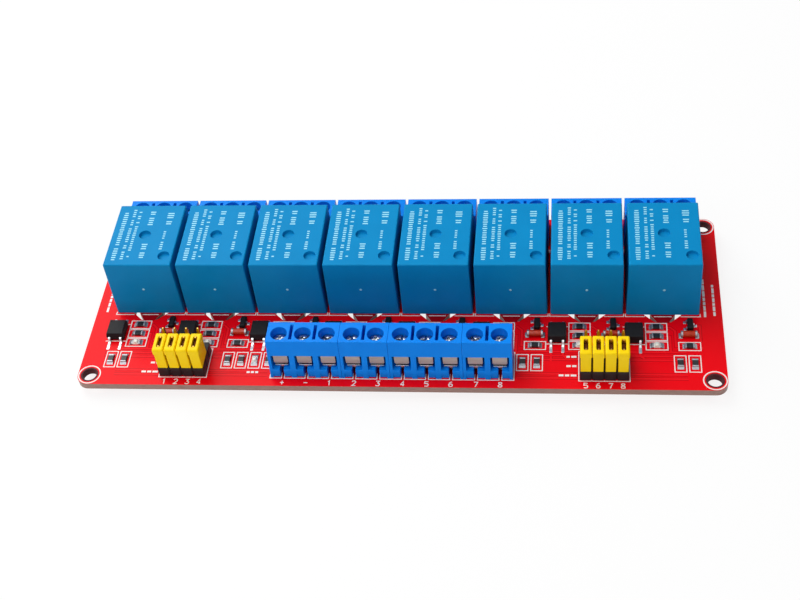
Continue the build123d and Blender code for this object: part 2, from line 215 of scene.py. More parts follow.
def rectangle(x0: float, y0: float, x1: float, y1: float) -> Array:
    """The four corners of a rectangle, anticlockwise."""
    return np.array([[x0, y0], [x1, y0], [x1, y1], [x0, y1]], float)


def prism(outline: Array, bottom: float, top: float) -> Skin:
    """An outline carried straight up from bottom to top."""
    return solid(np.stack([level(outline, bottom), level(outline, top)]))


def along_x(profile: Array, start: float, end: float) -> Skin:
    """A profile in y and z carried along x from start to end."""
    return prism(profile, start, end).laid((2, 0, 1))


def tower(size: Point, inset: Values, height: Values, corner: float, least: float,
          steps: int = 4) -> Skin:
    """Rounded rectangles one above another: each is drawn in on every side by its inset.

    A corner's radius is corner - inset, and never under the least one.

    Args:
        size: length along x and y with no inset.
        inset: how far each rectangle is drawn in.
        height: height of each rectangle.
        corner: radius of the upright corners with no inset.
        least: least radius of the corners.
        steps: runs along each corner.

    Returns:
        The closed form.
    """
    sx, sy = size
    return solid(np.stack([level(rounded(sx - 2 * i, sy - 2 * i, max(corner - i, least), steps), z)
                           for i, z in zip(inset, height)]))


def block(size: Triple, corner: float, edge: float, draft: float = 0.0, foot: float = 0.0,
          steps: int = 3) -> Skin:
    """A moulded block on z = 0: its outline, drawn in by quarter circles at the foot and the top.

    At the angle b from 0 to a right angle, the foot is drawn in by foot (1 - sin b) at the height
    foot (1 - cos b), and the top by draft + edge (1 - cos b) at the height top - edge (1 - sin b).

    Args:
        size: length along x, y and z.
        corner: radius of the upright corners.
        edge: radius of the top edge.
        draft: how far each side leans in at the top.
        foot: radius of the bottom edge.
        steps: faces across each rounded edge.

    Returns:
        The closed block.
    """
    sx, sy, sz = size
    bend = np.linspace(0, np.pi / 2, steps + 1)
    inset = np.concatenate([foot * (1 - np.sin(bend)), draft + edge * (1 - np.cos(bend))])
    height = np.concatenate([foot * (1 - np.cos(bend)), sz - edge * (1 - np.sin(bend))])
    if not foot:
        inset, height = inset[steps:], height[steps:]
    return tower((sx, sy), inset, height, corner, LEAST_CORNER)


def box(x0: float, x1: float, y0: float, y1: float, z0: float, z1: float) -> Skin:
    """A sharp block between two corners, for cutting."""
    return prism(rectangle(x0, y0, x1, y1), z0, z1)


def pocket(size: Triple, top: float) -> Skin:
    """A sharp block that cuts down into a face at height top; size is its length, width and depth."""
    sx, sy, depth = size
    return box(-sx / 2, sx / 2, -sy / 2, sy / 2, top - depth, top + CUT)


def hoops(radius: Values, height: Values, count: int) -> Array:
    """Loops of a turned form: (r cos t, r sin t, h) for a full turn t at each radius r and height h.

    Args:
        radius: radius of each loop.
        height: height of each loop.
        count: points round each loop.

    Returns:
        The loops as (loops, count, 3).
    """
    turn = np.arange(count) * 2 * np.pi / count
    r, h = np.asarray(radius, float), np.asarray(height, float)
    return np.stack([np.outer(r, np.cos(turn)), np.outer(r, np.sin(turn)),
                     np.repeat(h[:, None], count, axis=1)], axis=-1)


def lathe(radius: Values, height: Values, count: int = 32) -> Skin:
    """A turned form with a flat face over each end."""
    return solid(hoops(radius, height, count))


def ring(outer: float, inner: float, bottom: float, top: float, count: int = 40) -> Skin:
    """A flat ring: a rectangle from radius inner to outer carried round a full turn."""
    loops = hoops([outer, outer, inner, inner], [bottom, top, top, bottom], count)
    return sheet(loops, wrap_columns=True, wrap_rows=True)


def ribbon(line: Line, width: float, bottom: float, top: float) -> Skin:
    """A flat line of print or copper: a rectangle carried along a bent line in x and y.

    Each point gives two, to both sides along the mean normal of the runs that meet there: half the
    width over the cosine of half the turn. A line that ends where it starts is closed.

    Args:
        line: points of the middle line.
        width: width of the line, which ends square on its last point.
        bottom: height of the underside.
        top: height of the upper side.

    Returns:
        The closed line.
    """
    centre = np.asarray(line, float)
    run = np.diff(centre, axis=0)
    run /= np.linalg.norm(run, axis=1, keepdims=True)
    closed = np.allclose(centre[0], centre[-1])
    if closed:
        centre, before, after = centre[:-1], np.roll(run, 1, axis=0), run
    else:
        before, after = np.concatenate([run[:1], run]), np.concatenate([run, run[-1:]])
    mean = before + after
    mean /= np.linalg.norm(mean, axis=1, keepdims=True)
    half_turn = np.maximum((mean * after).sum(axis=1, keepdims=True), SHARPEST_MITRE)
    side = np.stack([-mean[:, 1], mean[:, 0]], axis=-1) * width / 2 / half_turn
    left, right = centre + side, centre - side
    loops = np.stack([level(right, top), level(right, bottom), level(left, bottom), level(left, top)], axis=1)
    return sheet(loops, wrap_columns=True, wrap_rows=True) if closed else solid(loops)


def ribbons(lines: Sequence[Line], width: float, bottom: float, top: float) -> Skin:
    """Flat lines of one width; neighbours differ a little in height, so that no two share a plane.

    Args:
        lines: points of each middle line.
        width: width of the lines.
        bottom: height of the undersides.
        top: height of the lowest upper side.

    Returns:
        All the lines in one surface.
    """
    step, levels = 0.0007, 11
    return join([ribbon(line, width, bottom, top + step * (number % levels))
                 for number, line in enumerate(lines)])


def outline_of(x: float, y: float, half_x: float, half_y: float) -> Array:
    """The closed line round a rectangle."""
    corners = rectangle(x - half_x, y - half_y, x + half_x, y + half_y)
    return np.concatenate([corners, corners[:1]])


def strip(line: Line, width: float, thickness: float) -> Skin:
    """A flat lead: a rectangle carried along a bent line in y and z.

    Each point of the line gives two, half the thickness to each side along the mean normal of the
    runs that meet there.

    Args:
        line: points of the middle line, as y and z.
        width: width along x.
        thickness: thickness of the metal.

    Returns:
        The closed lead.
    """
    centre = np.asarray(line, float)
    run = np.diff(centre, axis=0)
    run /= np.linalg.norm(run, axis=1, keepdims=True)
    mean = np.concatenate([run[:1], run[:-1] + run[1:], run[-1:]])
    mean /= np.linalg.norm(mean, axis=1, keepdims=True)
    normal = np.stack([-mean[:, 1], mean[:, 0]], axis=-1) * thickness / 2
    upper, lower = centre + normal, centre - normal
    half = np.full(len(centre), width / 2)
    loops = np.stack([
        np.column_stack([-half, lower]), np.column_stack([-half, upper]),
        np.column_stack([half, upper]), np.column_stack([half, lower]),
    ], axis=1)
    return solid(loops)


def new_mesh(name: str, skin: Skin, scale: float) -> bpy.types.Mesh:
    """A mesh from a surface, with points that lie on each other merged.

    Args:
        name: name of the mesh.
        skin: the surface.
        scale: what its sizes are multiplied by.

    Returns:
        The new mesh.
    """
    mesh = bpy.data.meshes.new(name)
    mesh.vertices.add(len(skin.points))
    mesh.vertices.foreach_set("co", (skin.points * scale).astype(np.float32).ravel())
    mesh.loops.add(len(skin.corners))
    mesh.loops.foreach_set("vertex_index", skin.corners.astype(np.int32))
    mesh.polygons.add(len(skin.sizes))
    starts = np.concatenate([[0], np.cumsum(skin.sizes)[:-1]])
    mesh.polygons.foreach_set("loop_start", starts.astype(np.int32))
    mesh.update(calc_edges=True)
    work = bmesh.new()
    work.from_mesh(mesh)
    bmesh.ops.remove_doubles(work, verts=work.verts, dist=MERGE * scale)
    work.to_mesh(mesh)
    work.free()
    return mesh


def carve(base: Skin, cuts: Sequence[Skin] = (), bevel: float = 0.0, steps: int = 2) -> Skin:
    """A form with others cut out of it, one after another, and its sharp edges rounded.

    Args:
        base: the closed form.
        cuts: closed forms to take away.
        bevel: width of the rounding at every edge sharper than the limit.
        steps: faces across each rounding.

    Returns:
        The finished surface.
    """
    tools = []
    for number, skin in enumerate([base, *cuts]):
        tool = bpy.data.objects.new(f"work_{number}", new_mesh(f"work_{number}", skin, 1.0))
        bpy.context.scene.collection.objects.link(tool)
        tools.append(tool)
    blank = tools[0]
    for tool in tools[1:]:
        cut = blank.modifiers.new("cut", "BOOLEAN")
        cut.operation = "DIFFERENCE"
        cut.solver = "EXACT"
        cut.object = tool
    if bevel:
        edge = blank.modifiers.new("edge", "BEVEL")
        edge.width = bevel
        edge.segments = steps
        edge.limit_method = "ANGLE"
        edge.angle_limit = ROUND_OVER
    result = bpy.data.meshes.new_from_object(blank.evaluated_get(bpy.context.evaluated_depsgraph_get()))
    points = np.empty(len(result.vertices) * 3)
    result.vertices.foreach_get("co", points)
    corners = np.empty(len(result.loops), np.int32)
    result.loops.foreach_get("vertex_index", corners)
    sizes = np.empty(len(result.polygons), np.int32)
    result.polygons.foreach_get("loop_total", sizes)
    for tool in tools:
        mesh = tool.data
        bpy.data.objects.remove(tool)
        bpy.data.meshes.remove(mesh)
    bpy.data.meshes.remove(result)
    return Skin(points.reshape(-1, 3), corners, sizes)


# Finishes


def linear(colour: str) -> tuple[float, float, float, float]:
    """An sRGB hex colour as linear light, by the standard curve, with full cover.

    Args:
        colour: a hash sign and six hex digits.

    Returns:
        Red, green, blue and cover, from 0 to 1.
    """
    value = np.array([int(colour[i:i + 2], 16) for i in (1, 3, 5)]) / 255
    light = np.where(value <= 0.04045, value / 12.92, ((value + 0.055) / 1.055) ** 2.4)
    return (*map(float, light), 1.0)


def add(tree: bpy.types.NodeTree, kind: str, settings: dict | None = None,
        links: dict | None = None) -> bpy.types.Node:
    """Adds a node.

    Args:
        tree: the node tree.
        kind: Blender's name for the node.
        settings: values for its properties, or for its inputs by name or number.
        links: outputs of other nodes for its inputs, by name or number.

    Returns:
        The new node.
    """
    node = tree.nodes.new(kind)
    for key, value in (settings or {}).items():
        if isinstance(key, int) or key in node.inputs:
            node.inputs[key].default_value = value
        else:
            setattr(node, key, value)
    for key, output in (links or {}).items():
        tree.links.new(output, node.inputs[key])
    return node


MIX_A, MIX_B, MIX_RESULT = 6, 7, 2  # colour sockets of a mix node


@dataclass(frozen=True)
class Finish:
    """A surface: two close colours mottled together, with grain in its gloss and its relief.

    Sizes are real ones in millimetres, and relief is in micrometres.
    """

    name: str
    colour: str
    tint: str
    roughness: float
    spread: float = 0.06
    metallic: float = 0.0
    mottle_mm: float = 3.0
    grain_mm: float = 0.25
    relief_um: float = 4.0
    coat: float = 0.0
    coat_roughness: float = 0.12
    specular: float = 0.5
    stretch: tuple[float, float, float] = (1.0, 1.0, 1.0)

    def colour_from(self, tree: bpy.types.NodeTree, place: bpy.types.NodeSocket) -> bpy.types.NodeSocket:
        """The colour: noise of the mottle's size mixes the two colours.

        Args:
            tree: the material's node tree.
            place: where the pattern is read.

        Returns:
            The colour's socket.
        """
        noise = add(tree, "ShaderNodeTexNoise", {"Scale": 1 / (self.mottle_mm * MM), "Detail": 3.0},
                    {"Vector": place})
        mix = add(tree, "ShaderNodeMix",
                  {"data_type": "RGBA", MIX_A: linear(self.colour), MIX_B: linear(self.tint)},
                  {0: noise.outputs["Fac"]})
        return mix.outputs[MIX_RESULT]

    def material(self) -> bpy.types.Material:
        """The material, made once: the grain's noise sets its gloss and its relief.

        Returns:
            The material of this finish's name.
        """
        made = bpy.data.materials.get(self.name)
        if made:
            return made
        made = bpy.data.materials.new(self.name)
        made.use_nodes = True
        tree = made.node_tree
        tree.nodes.clear()
        where = add(tree, "ShaderNodeTexCoord").outputs["Object"]
        place = add(tree, "ShaderNodeMapping", {"Scale": self.stretch}, {"Vector": where}).outputs[0]
        grain = add(tree, "ShaderNodeTexNoise", {"Scale": 1 / (self.grain_mm * MM), "Detail": 2.0},
                    {"Vector": place})
        gloss = add(tree, "ShaderNodeMapRange",
                    {"To Min": self.roughness - self.spread, "To Max": self.roughness + self.spread},
                    {"Value": grain.outputs["Fac"]})
        bump = add(tree, "ShaderNodeBump", {"Strength": 1.0, "Distance": self.relief_um * 1e-6},
                   {"Height": grain.outputs["Fac"]})
        shader = add(tree, "ShaderNodeBsdfPrincipled",
                     {"Metallic": self.metallic, "Coat Weight": self.coat,
                      "Coat Roughness": self.coat_roughness, "Specular IOR Level": self.specular},
                     {"Base Color": self.colour_from(tree, place), "Roughness": gloss.outputs[0],
                      "Normal": bump.outputs[0]})
        add(tree, "ShaderNodeOutputMaterial", {}, {"Surface": shader.outputs[0]})
        return made


@dataclass(frozen=True)
class LaminateFinish(Finish):
    """A masked glass-fibre board: its cut edges show the bare laminate in layers."""

    fibre: str = "#B4948A"
    resin: str = "#86665E"
    layer_mm: float = 0.2
    along: float = 0.12
    level_from: float = 0.5

    def colour_from(self, tree: bpy.types.NodeTree, place: bpy.types.NodeSocket) -> bpy.types.NodeSocket:
        """The mask's colour on faces that look up or down, and layers of fibre on the others.

        Args:
            tree: the material's node tree.
            place: where the pattern is read.

        Returns:
            The colour's socket.
        """
        mask = super().colour_from(tree, place)
        flat = add(tree, "ShaderNodeMapping", {"Scale": (self.along, self.along, 1.0)},
                   {"Vector": place}).outputs[0]
        layers = add(tree, "ShaderNodeTexNoise", {"Scale": 1 / (self.layer_mm * MM), "Detail": 3.0},
                     {"Vector": flat})
        bare = add(tree, "ShaderNodeMix",
                   {"data_type": "RGBA", MIX_A: linear(self.resin), MIX_B: linear(self.fibre)},
                   {0: layers.outputs["Fac"]})
        normal = add(tree, "ShaderNodeTexCoord").outputs["Normal"]
        upright = add(tree, "ShaderNodeSeparateXYZ", {}, {0: normal}).outputs["Z"]
        level_face = add(tree, "ShaderNodeMath", {"operation": "ABSOLUTE"}, {0: upright}).outputs[0]
        flat_face = add(tree, "ShaderNodeMath", {"operation": "GREATER_THAN", 1: self.level_from},
                        {0: level_face}).outputs[0]
        mix = add(tree, "ShaderNodeMix", {"data_type": "RGBA"},
                  {0: flat_face, MIX_A: bare.outputs[MIX_RESULT], MIX_B: mask})
        return mix.outputs[MIX_RESULT]


# Red solder mask over woven glass and epoxy, smooth with a soft sheen
MASK = LaminateFinish("solder_mask_on_glass_fibre", "#F20012", "#E80010", 0.32, 0.05, mottle_mm=6.0,
                      grain_mm=0.7, relief_um=5.0, specular=0.1)
# The same mask over copper, which shows through a little lighter
TRACE = Finish("solder_mask_over_copper", "#F61420", "#EE0C18", 0.32, mottle_mm=4.0, grain_mm=0.6,
               specular=0.1)
# Mask with no copper under it, where the dark laminate shows through; the same dark mask is painted under the
# terminals' slits as painted shade
BARE_MASK_AND_SLIT_SHADE = Finish("solder_mask_over_laminate_and_slit_shade", "#A8000E", "#98000C", 0.34, mottle_mm=3.0, grain_mm=0.6,
                   specular=0.1)
# Mask in the narrow gaps beside the copper runs
GAP_MASK = Finish("solder_mask_in_gaps", "#CC000F", "#C2000E", 0.34, mottle_mm=3.0, grain_mm=0.6,
                  specular=0.1)
# Drilled wall of a mounting hole, painted dark as painted shade inside the hole; the same dark colour makes a
# ring on the board round its rim
HOLE_SHADE = Finish("drilled_laminate_painted_shade", "#54161E", "#3E0E16", 0.6, mottle_mm=0.5, grain_mm=0.15, relief_um=12.0,
                specular=0.2)
# Screen-printed white epoxy ink
SILK = Finish("white_epoxy_print", "#F2EFEC", "#E4E0DC", 0.55, grain_mm=0.15, relief_um=6.0)
# PBT relay case, moulded with a fine satin texture
CASE = Finish("moulded_pbt_blue", "#088BC7", "#0681BB", 0.38, 0.07, mottle_mm=5.0, grain_mm=0.16,
              relief_um=5.0, specular=0.06)
# Pad-printed ink on the relay cases, thin enough for the blue to show through
INK = Finish("pad_printed_ink", "#A6E2F0", "#7CCEE6", 0.5, mottle_mm=0.4, grain_mm=0.2)
# Polyamide terminal block, moulded glossier than the relays
TERMINAL = Finish("moulded_polyamide_blue", "#0688F0", "#047CE6", 0.3, 0.06, mottle_mm=4.0, grain_mm=0.2,
                  specular=0.08)
# Zinc-plated steel screw
SCREW = Finish("zinc_plated_steel", "#C6C9CC", "#9DA2A8", 0.3, 0.1, 1.0, mottle_mm=0.8, grain_mm=0.3,
               relief_um=8.0)
# Nickel-plated strip with drawing marks along it
STRIP = Finish("nickel_plated_strip", "#BEBAB4", "#98948E", 0.46, 0.1, 1.0, mottle_mm=0.7, grain_mm=0.12,
               relief_um=3.0, stretch=(0.2, 1.0, 1.0))
# Tin plating and solder, bright and slightly uneven
TIN = Finish("bright_tin", "#D2D3D5", "#A9ABAF", 0.3, 0.1, 1.0, mottle_mm=0.5, grain_mm=0.35, relief_um=10.0)
# Matt tin over the ends of chip parts
MATT_TIN = Finish("matt_tin", "#ACAEB2", "#7E8186", 0.46, 0.1, 1.0, mottle_mm=0.4, grain_mm=0.2,
                  relief_um=8.0)
# Square brass pin with a thin gold flash
GOLD = Finish("gold_flashed_brass", "#D8B561", "#C39B47", 0.26, 0.06, 1.0, mottle_mm=1.0, grain_mm=0.2)
# Phosphor bronze contact leaf, painted dark as painted shade for its place inside the cap
SHADED_BRONZE = Finish("phosphor_bronze_painted_shade", "#5C3418", "#40220E", 0.5, 0.08, 1.0, mottle_mm=0.8, grain_mm=0.15)
# Glass-filled black polymer of the header base
HEADER = Finish("moulded_black_polymer", "#121214", "#1A1A1E", 0.46, 0.08, mottle_mm=1.5, grain_mm=0.14,
                relief_um=5.0, specular=0.3)
# Yellow polymer jumper cap
CAP = Finish("moulded_yellow_polymer", "#FFDC00", "#FAD000", 0.4, 0.07, mottle_mm=2.0, grain_mm=0.15,
             relief_um=5.0, specular=0.14)
# Epoxy moulding compound of the packages, with a fine spark-eroded texture
EPOXY = Finish("epoxy_moulding_compound", "#121214", "#1B1B1E", 0.5, 0.1, mottle_mm=0.8, grain_mm=0.1,
               relief_um=8.0, specular=0.14)
# Black glaze over a ceramic chip
GLAZE = Finish("black_resistor_glaze", "#151618", "#202124", 0.35, mottle_mm=0.7, grain_mm=0.15,
               specular=0.35)
# Alumina of chip parts
CERAMIC = Finish("white_alumina", "#EDEBE6", "#DDDAD3", 0.5, mottle_mm=0.6, grain_mm=0.1)
# Clear lens over a pale lamp
LENS = Finish("clear_epoxy_lens", "#E9E8DE", "#D8D7CB", 0.14, 0.03, mottle_mm=0.5, grain_mm=0.3, coat=0.5)
# Doped glass tube of the diodes, dark where it is thick
GLASS = Finish("orange_diode_glass", "#D63C10", "#98200A", 0.16, 0.03, mottle_mm=0.7, grain_mm=0.4,
               specular=0.3)


# Pieces


def span(node: str) -> Span:
    """Lowest and highest corner of a CAD node, in millimetres."""
    low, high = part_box(node)
    return np.array(low) / MM, np.array(high) / MM


def seat(low: Array, high: Array) -> Triple:
    """The middle of a box's underside."""
    return (low[0] + high[0]) / 2, (low[1] + high[1]) / 2, low[2]


def centred(count: int) -> Array:
    """Whole steps to both sides of zero: number - (count - 1) / 2."""
    return np.arange(count) - (count - 1) / 2


def piece(name: str, skin: Skin, finish: Finish, nodes: Sequence[str] = (),
          body: str = Body.MODULE.value) -> bpy.types.Object:
    """Makes one piece of the model and sets it on its body.

    Args:
        name: name of the piece.
        skin: its surface.
        finish: its finish.
        nodes: CAD nodes that it stands for.
        body: the body that it moves with.

    Returns:
        The finished piece.
    """
    mesh = new_mesh(name, skin, MM)
    mesh.polygons.foreach_set("use_smooth", np.ones(len(mesh.polygons), bool))
    mesh.set_sharp_from_angle(angle=SMOOTH_UNDER)
    mesh.materials.append(finish.material())
    made = bpy.data.objects.new(name, mesh)
    bpy.context.scene.collection.objects.link(made)
    even = made.modifiers.new("even_faces", "WEIGHTED_NORMAL")
    even.keep_sharp = True
    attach(made, body)
    if nodes:
        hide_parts(*nodes)
    LOG.info("%s: %d faces on %s", name, len(mesh.polygons), body)
    return made


def dress(node: str, finish: Finish) -> None:
    """Gives a CAD node that keeps its own shape its finish.

    Args:
        node: name of the node.
        finish: its finish.
    """
    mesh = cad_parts[node].data
    mesh.materials.clear()
    mesh.materials.append(finish.material())
    LOG.info("%s: dressed in %s", node, finish.name)


@dataclass
class Layout:
    """Where the rows of parts lie, read from the frame."""

    board: Span = field(init=False)
    relays: list[Span] = field(init=False)
    inputs: list[Span] = field(init=False)
    outputs: list[Span] = field(init=False)
    channel_x: Array = field(init=False)
    top: float = field(init=False)
    under: float = field(init=False)
    relay_front: float = field(init=False)
    relay_rear: float = field(init=False)
    foot: float = field(init=False)

    def __post_init__(self) -> None:
        """Reads the boxes of the board, the relays and the terminals."""
        self.board = span("circuit_board")
        self.relays = [span(f"relay_{i}") for i in CHANNELS]
        self.inputs = [span(f"input_terminal_{i}") for i in INPUT_BLOCKS]
        self.outputs = [span(f"output_terminal_{i}") for i in CHANNELS]
        self.channel_x = np.array([(low[0] + high[0]) / 2 for low, high in self.relays])
        self.top = float(self.board[1][2])
        self.under = float(self.board[0][2])
        self.relay_front = float(self.relays[0][0][1])
        self.relay_rear = float(self.relays[0][1][1])
        self.foot = float(self.inputs[0][0][1])

    def in_channels(self, across: float, ahead: float, z: float | None = None) -> Array:
        """One place in every channel.

        Args:
            across: distance along x from the relay's middle.
            ahead: distance in front of the relay.
            z: height, which is the board's top where none is given.

        Returns:
            The places as (channels, 3).
        """
        height = self.top if z is None else z
        count = len(self.channel_x)
        return np.column_stack([self.channel_x + across, np.full(count, self.relay_front - ahead),
                                np.full(count, height)])


class PrintRow(NamedTuple):
    """A row of print along a relay's top: its middle line, its two ends and how tall it is."""

    x: float
    start: float
    end: float
    tall: float


@dataclass
class Relays:
    """The row of sealed relays."""

    layout: Layout
    corner: float = 0.45
    edge: float = 0.3
    lean: float = 0.212  # how far each side leans in at the top
    dimple: float = 2.6
    dimple_depth: float = 0.8
    gate_inset: Point = (2.2, 3.1)  # second dimple, from the right side and the front
    rim: float = 0.06
    print_height: float = 0.015
    bar_pitch: float = 0.66
    bar_width: float = 0.32
    bars_missing: float = 0.16  # share of the bars that is left out
    bar_share: Point = (0.7, 1.0)  # least and most of a row's height
    bar_seed: int = 7
    nub_radius: Triple = (0.3, 0.26, 0.12)
    nub_height: Triple = (0.0, 0.05, 0.08)
    nub_faces: int = 12

    rows: ClassVar[tuple[PrintRow, ...]] = (
        PrintRow(-5.6, -7.9, 7.8, 1.1),
        PrintRow(-3.75, -7.6, 7.6, 0.75),
        PrintRow(-2.45, -7.6, 7.4, 0.75),
        PrintRow(0.5, 3.0, 7.2, 1.2),
        PrintRow(0.6, -7.2, -3.2, 1.3),
        PrintRow(4.4, -4.6, 1.4, 0.7),
        PrintRow(4.7, 3.2, 7.0, 1.6),
    )

    def case(self) -> Skin:
        """One case on z = 0: a drafted block with two round dimples turned into its top.

        Returns:
            The moulded case.
        """
        low, high = self.layout.relays[0]
        sx, sy, sz = high - low
        sz -= self.print_height
        form = block((sx, sy, sz), self.corner, self.edge, self.lean)
        tool = lathe([self.dimple / 2] * 2, [sz - self.dimple_depth, sz + CUT])
        gate = (sx / 2 - self.gate_inset[0], self.gate_inset[1] - sy / 2)
        return carve(form, [tool.at([(0, 0, 0), (*gate, 0)])], self.rim)

    def print_bars(self, bottom: float, top: float) -> Skin:
        """Rows of plain short bars along y, printed on a case's top.

        Each bar is a step further along its row; some are left out, and their heights vary.

        Args:
            bottom: height of the bars' undersides.
            top: height of their upper sides.

        Returns:
            All the bars in one surface.
        """
        chance = np.random.default_rng(self.bar_seed)
        bars = []
        for x, start, end, tall in self.rows:
            y = np.arange(start, end, self.bar_pitch)
            kept = chance.random(len(y)) > self.bars_missing
            half = tall / 2 * chance.uniform(*self.bar_share, len(y))
            bars += [prism(rectangle(x - h, a, x + h, a + self.bar_width), bottom, top)
                     for a, h in zip(y[kept], half[kept])]
        return join(bars)

    def build(self) -> None:
        """Makes the cases, their print and the mark where each was moulded."""
        case = self.case()
        places = [seat(low, high) for low, high in self.layout.relays]
        for number, place in zip(CHANNELS, places):
            piece(f"relay_case_{number}", case.at([place]), CASE, [f"relay_{number}"])
        low, high = self.layout.relays[0]
        _, depth, height = high - low
        ink = self.print_bars(height - 2 * self.print_height, height)
        piece("relay_print", ink.at(places), INK)
        nub = lathe(self.nub_radius, self.nub_height, self.nub_faces)
        marks = nub.tipped().moved(0.0, -depth / 2 + self.lean / 2, height / 2)
        piece("relay_gate_marks", marks.at(places), INK)


class TerminalRow(NamedTuple):
    """A row of blocks: its name, their boxes, their turn, and what their ends stand out."""

    name: str
    blocks: list[Span]
    turn: float
    spare: float


@dataclass
class Terminals:
    """The screw terminals along both long edges."""

    layout: Layout
    pitch: float = 5.08
    lean: float = 1.65  # how far the wire side leans back at the top
    back_wall: float = 1.1
    pole_wall: float = 1.2
    well: float = 3.5
    well_faces: int = 36
    well_setback: float = 4.0
    chamber_top: float = 5.85
    sill: float = 2.2
    sill_setback: float = 0.3
    slit: Triple = (0.65, 4.0, 3.0)  # between poles: along x, along y, and depth
    sill_slit: float = 0.8
    pin_hole: float = 1.1
    edge: float = 0.13
    spare: Point = (0.06, 0.15)  # what the ends of input and output blocks stand out
    screw: float = 3.26
    screw_height: float = 1.9
    screw_slot: Triple = (4.0, 0.56, 0.75)  # along x, along y, and depth
    screw_cross: Triple = (0.52, 2.1, 0.7)  # the same
    screw_edge: float = 0.05
    screw_turns: Point = (0.0, 180.0)  # degrees, least and most
    screw_seed: int = 3
    guard: Point = (3.08, 2.5)  # width, and height of the flap
    guard_setback: float = 1.3
    guard_reach: float = 4.6
    metal: float = 0.6
    flap_corner: float = 0.35
    flap_edge: float = 0.12
    plate_corner: float = 0.1
    plate_edge: float = 0.06
    lip: Triple = (2.8, 0.3, 0.3)  # width, thickness at the ends, and bow
    lip_gap: float = 0.5
    lip_edge: float = 0.05
    lip_points: int = 9

    # Profile of a screw's rim: in from its side, and down from its top
    rim_inset: ClassVar[tuple[float, ...]] = (0.0, 0.0, 0.08, 0.28, 0.815)
    rim_drop: ClassVar[tuple[float, ...]] = (1.9, 0.35, 0.14, 0.02, 0.0)

    def poles(self, low: Array, high: Array) -> Array:
        """Middle of each pole of a block, from the block's middle."""
        return centred(round((high[0] - low[0]) / self.pitch)) * self.pitch

    def housing(self, low: Array, high: Array, spare: float) -> Skin:
        """A block on z = 0 with its wire side on y = 0: a leaning section, cut by wells and chambers.

        Args:
            low: lowest corner of the block's node.
            high: highest corner of the block's node.
            spare: what each end stands out, towards the next block.

        Returns:
            The moulded block.
        """
        wide, deep, tall = high - low
        poles = self.poles(low, high)
        half = (self.pitch - self.pole_wall) / 2
        section = np.array([[0, 0], [deep, 0], [deep, tall], [self.lean, tall]])
        form = along_x(section, -wide / 2 - spare, wide / 2 + spare)
        front, rear = self.sill_setback, deep - self.back_wall
        opening = np.array([[-CUT, -CUT], [front, -CUT], [front, self.sill], [rear, self.sill],
                            [rear, self.chamber_top], [-CUT, self.chamber_top]])
        spots = np.column_stack([poles, np.zeros((len(poles), 2))])
        chambers = along_x(opening, -half, half).at(spots)
        slit, pin, back = self.sill_slit / 2, self.pin_hole / 2, self.well_setback
        slits = box(-slit, slit, -CUT, back, -CUT, self.sill + OVERLAP).at(spots)
        holes = box(-pin, pin, back - pin, back + pin, -CUT, self.sill + OVERLAP).at(spots)
        wells = lathe([self.well / 2] * 2, [self.chamber_top - OVERLAP, tall + CUT], self.well_faces)
        wells = wells.at(spots + (0, back, 0))
        middle = (self.lean + deep) / 2
        gaps = pocket(self.slit, tall).at(spots[1:] + (-self.pitch / 2, middle, 0))
        return carve(form, [chambers, slits, holes, wells, gaps], self.edge)

    def screw_head(self) -> Skin:
        """A screw head: a turned disc with a rounded rim and a cross cut in its top.

        Returns:
            The head on z = 0.
        """
        top = self.screw_height
        form = lathe(self.screw / 2 - np.array(self.rim_inset), top - np.array(self.rim_drop))
        return carve(form, [pocket(self.screw_slot, top), pocket(self.screw_cross, top)], self.screw_edge)

    def wire_guard(self) -> Skin:
        """A bent strip: a plate under the screw and a flap behind the opening.

        Returns:
            The strip, at the place that it has in a pole.
        """
        wide, flap = self.guard
        front = self.guard_setback
        outline = rounded(wide, flap, self.flap_corner)
        outline[:, 1] = np.where(outline[:, 1] > 0, flap / 2, outline[:, 1])
        plate = prism(rounded(wide, self.guard_reach - self.metal, self.plate_corner), -self.metal, 0)
        plate = plate.moved(0, front + (self.guard_reach + self.metal) / 2, self.chamber_top)
        leaf = prism(outline, 0, self.metal).tipped()
        leaf = leaf.moved(0, front + self.metal, self.chamber_top - flap / 2)
        return carve(plate, [], self.plate_edge) + carve(leaf, [], self.flap_edge)

    def wire_lip(self) -> Skin:
        """The bowed lip below a flap, with a straight top.

        Its lower edge hangs by the square of the way from its ends.

        Returns:
            The lip, at the place that it has in a pole.
        """
        reach, thin, bow = self.lip
        x = np.linspace(-reach / 2, reach / 2, self.lip_points)
        under = np.column_stack([x, -thin - bow * (1 - (2 * x / reach) ** 2)])
        outline = np.concatenate([under, [[reach / 2, 0.0], [-reach / 2, 0.0]]])
        saddle = prism(outline, 0, self.metal).tipped()
        height = self.chamber_top - self.guard[1] - self.lip_gap
        return carve(saddle, [], self.lip_edge).moved(0, self.guard_setback + self.metal, height)

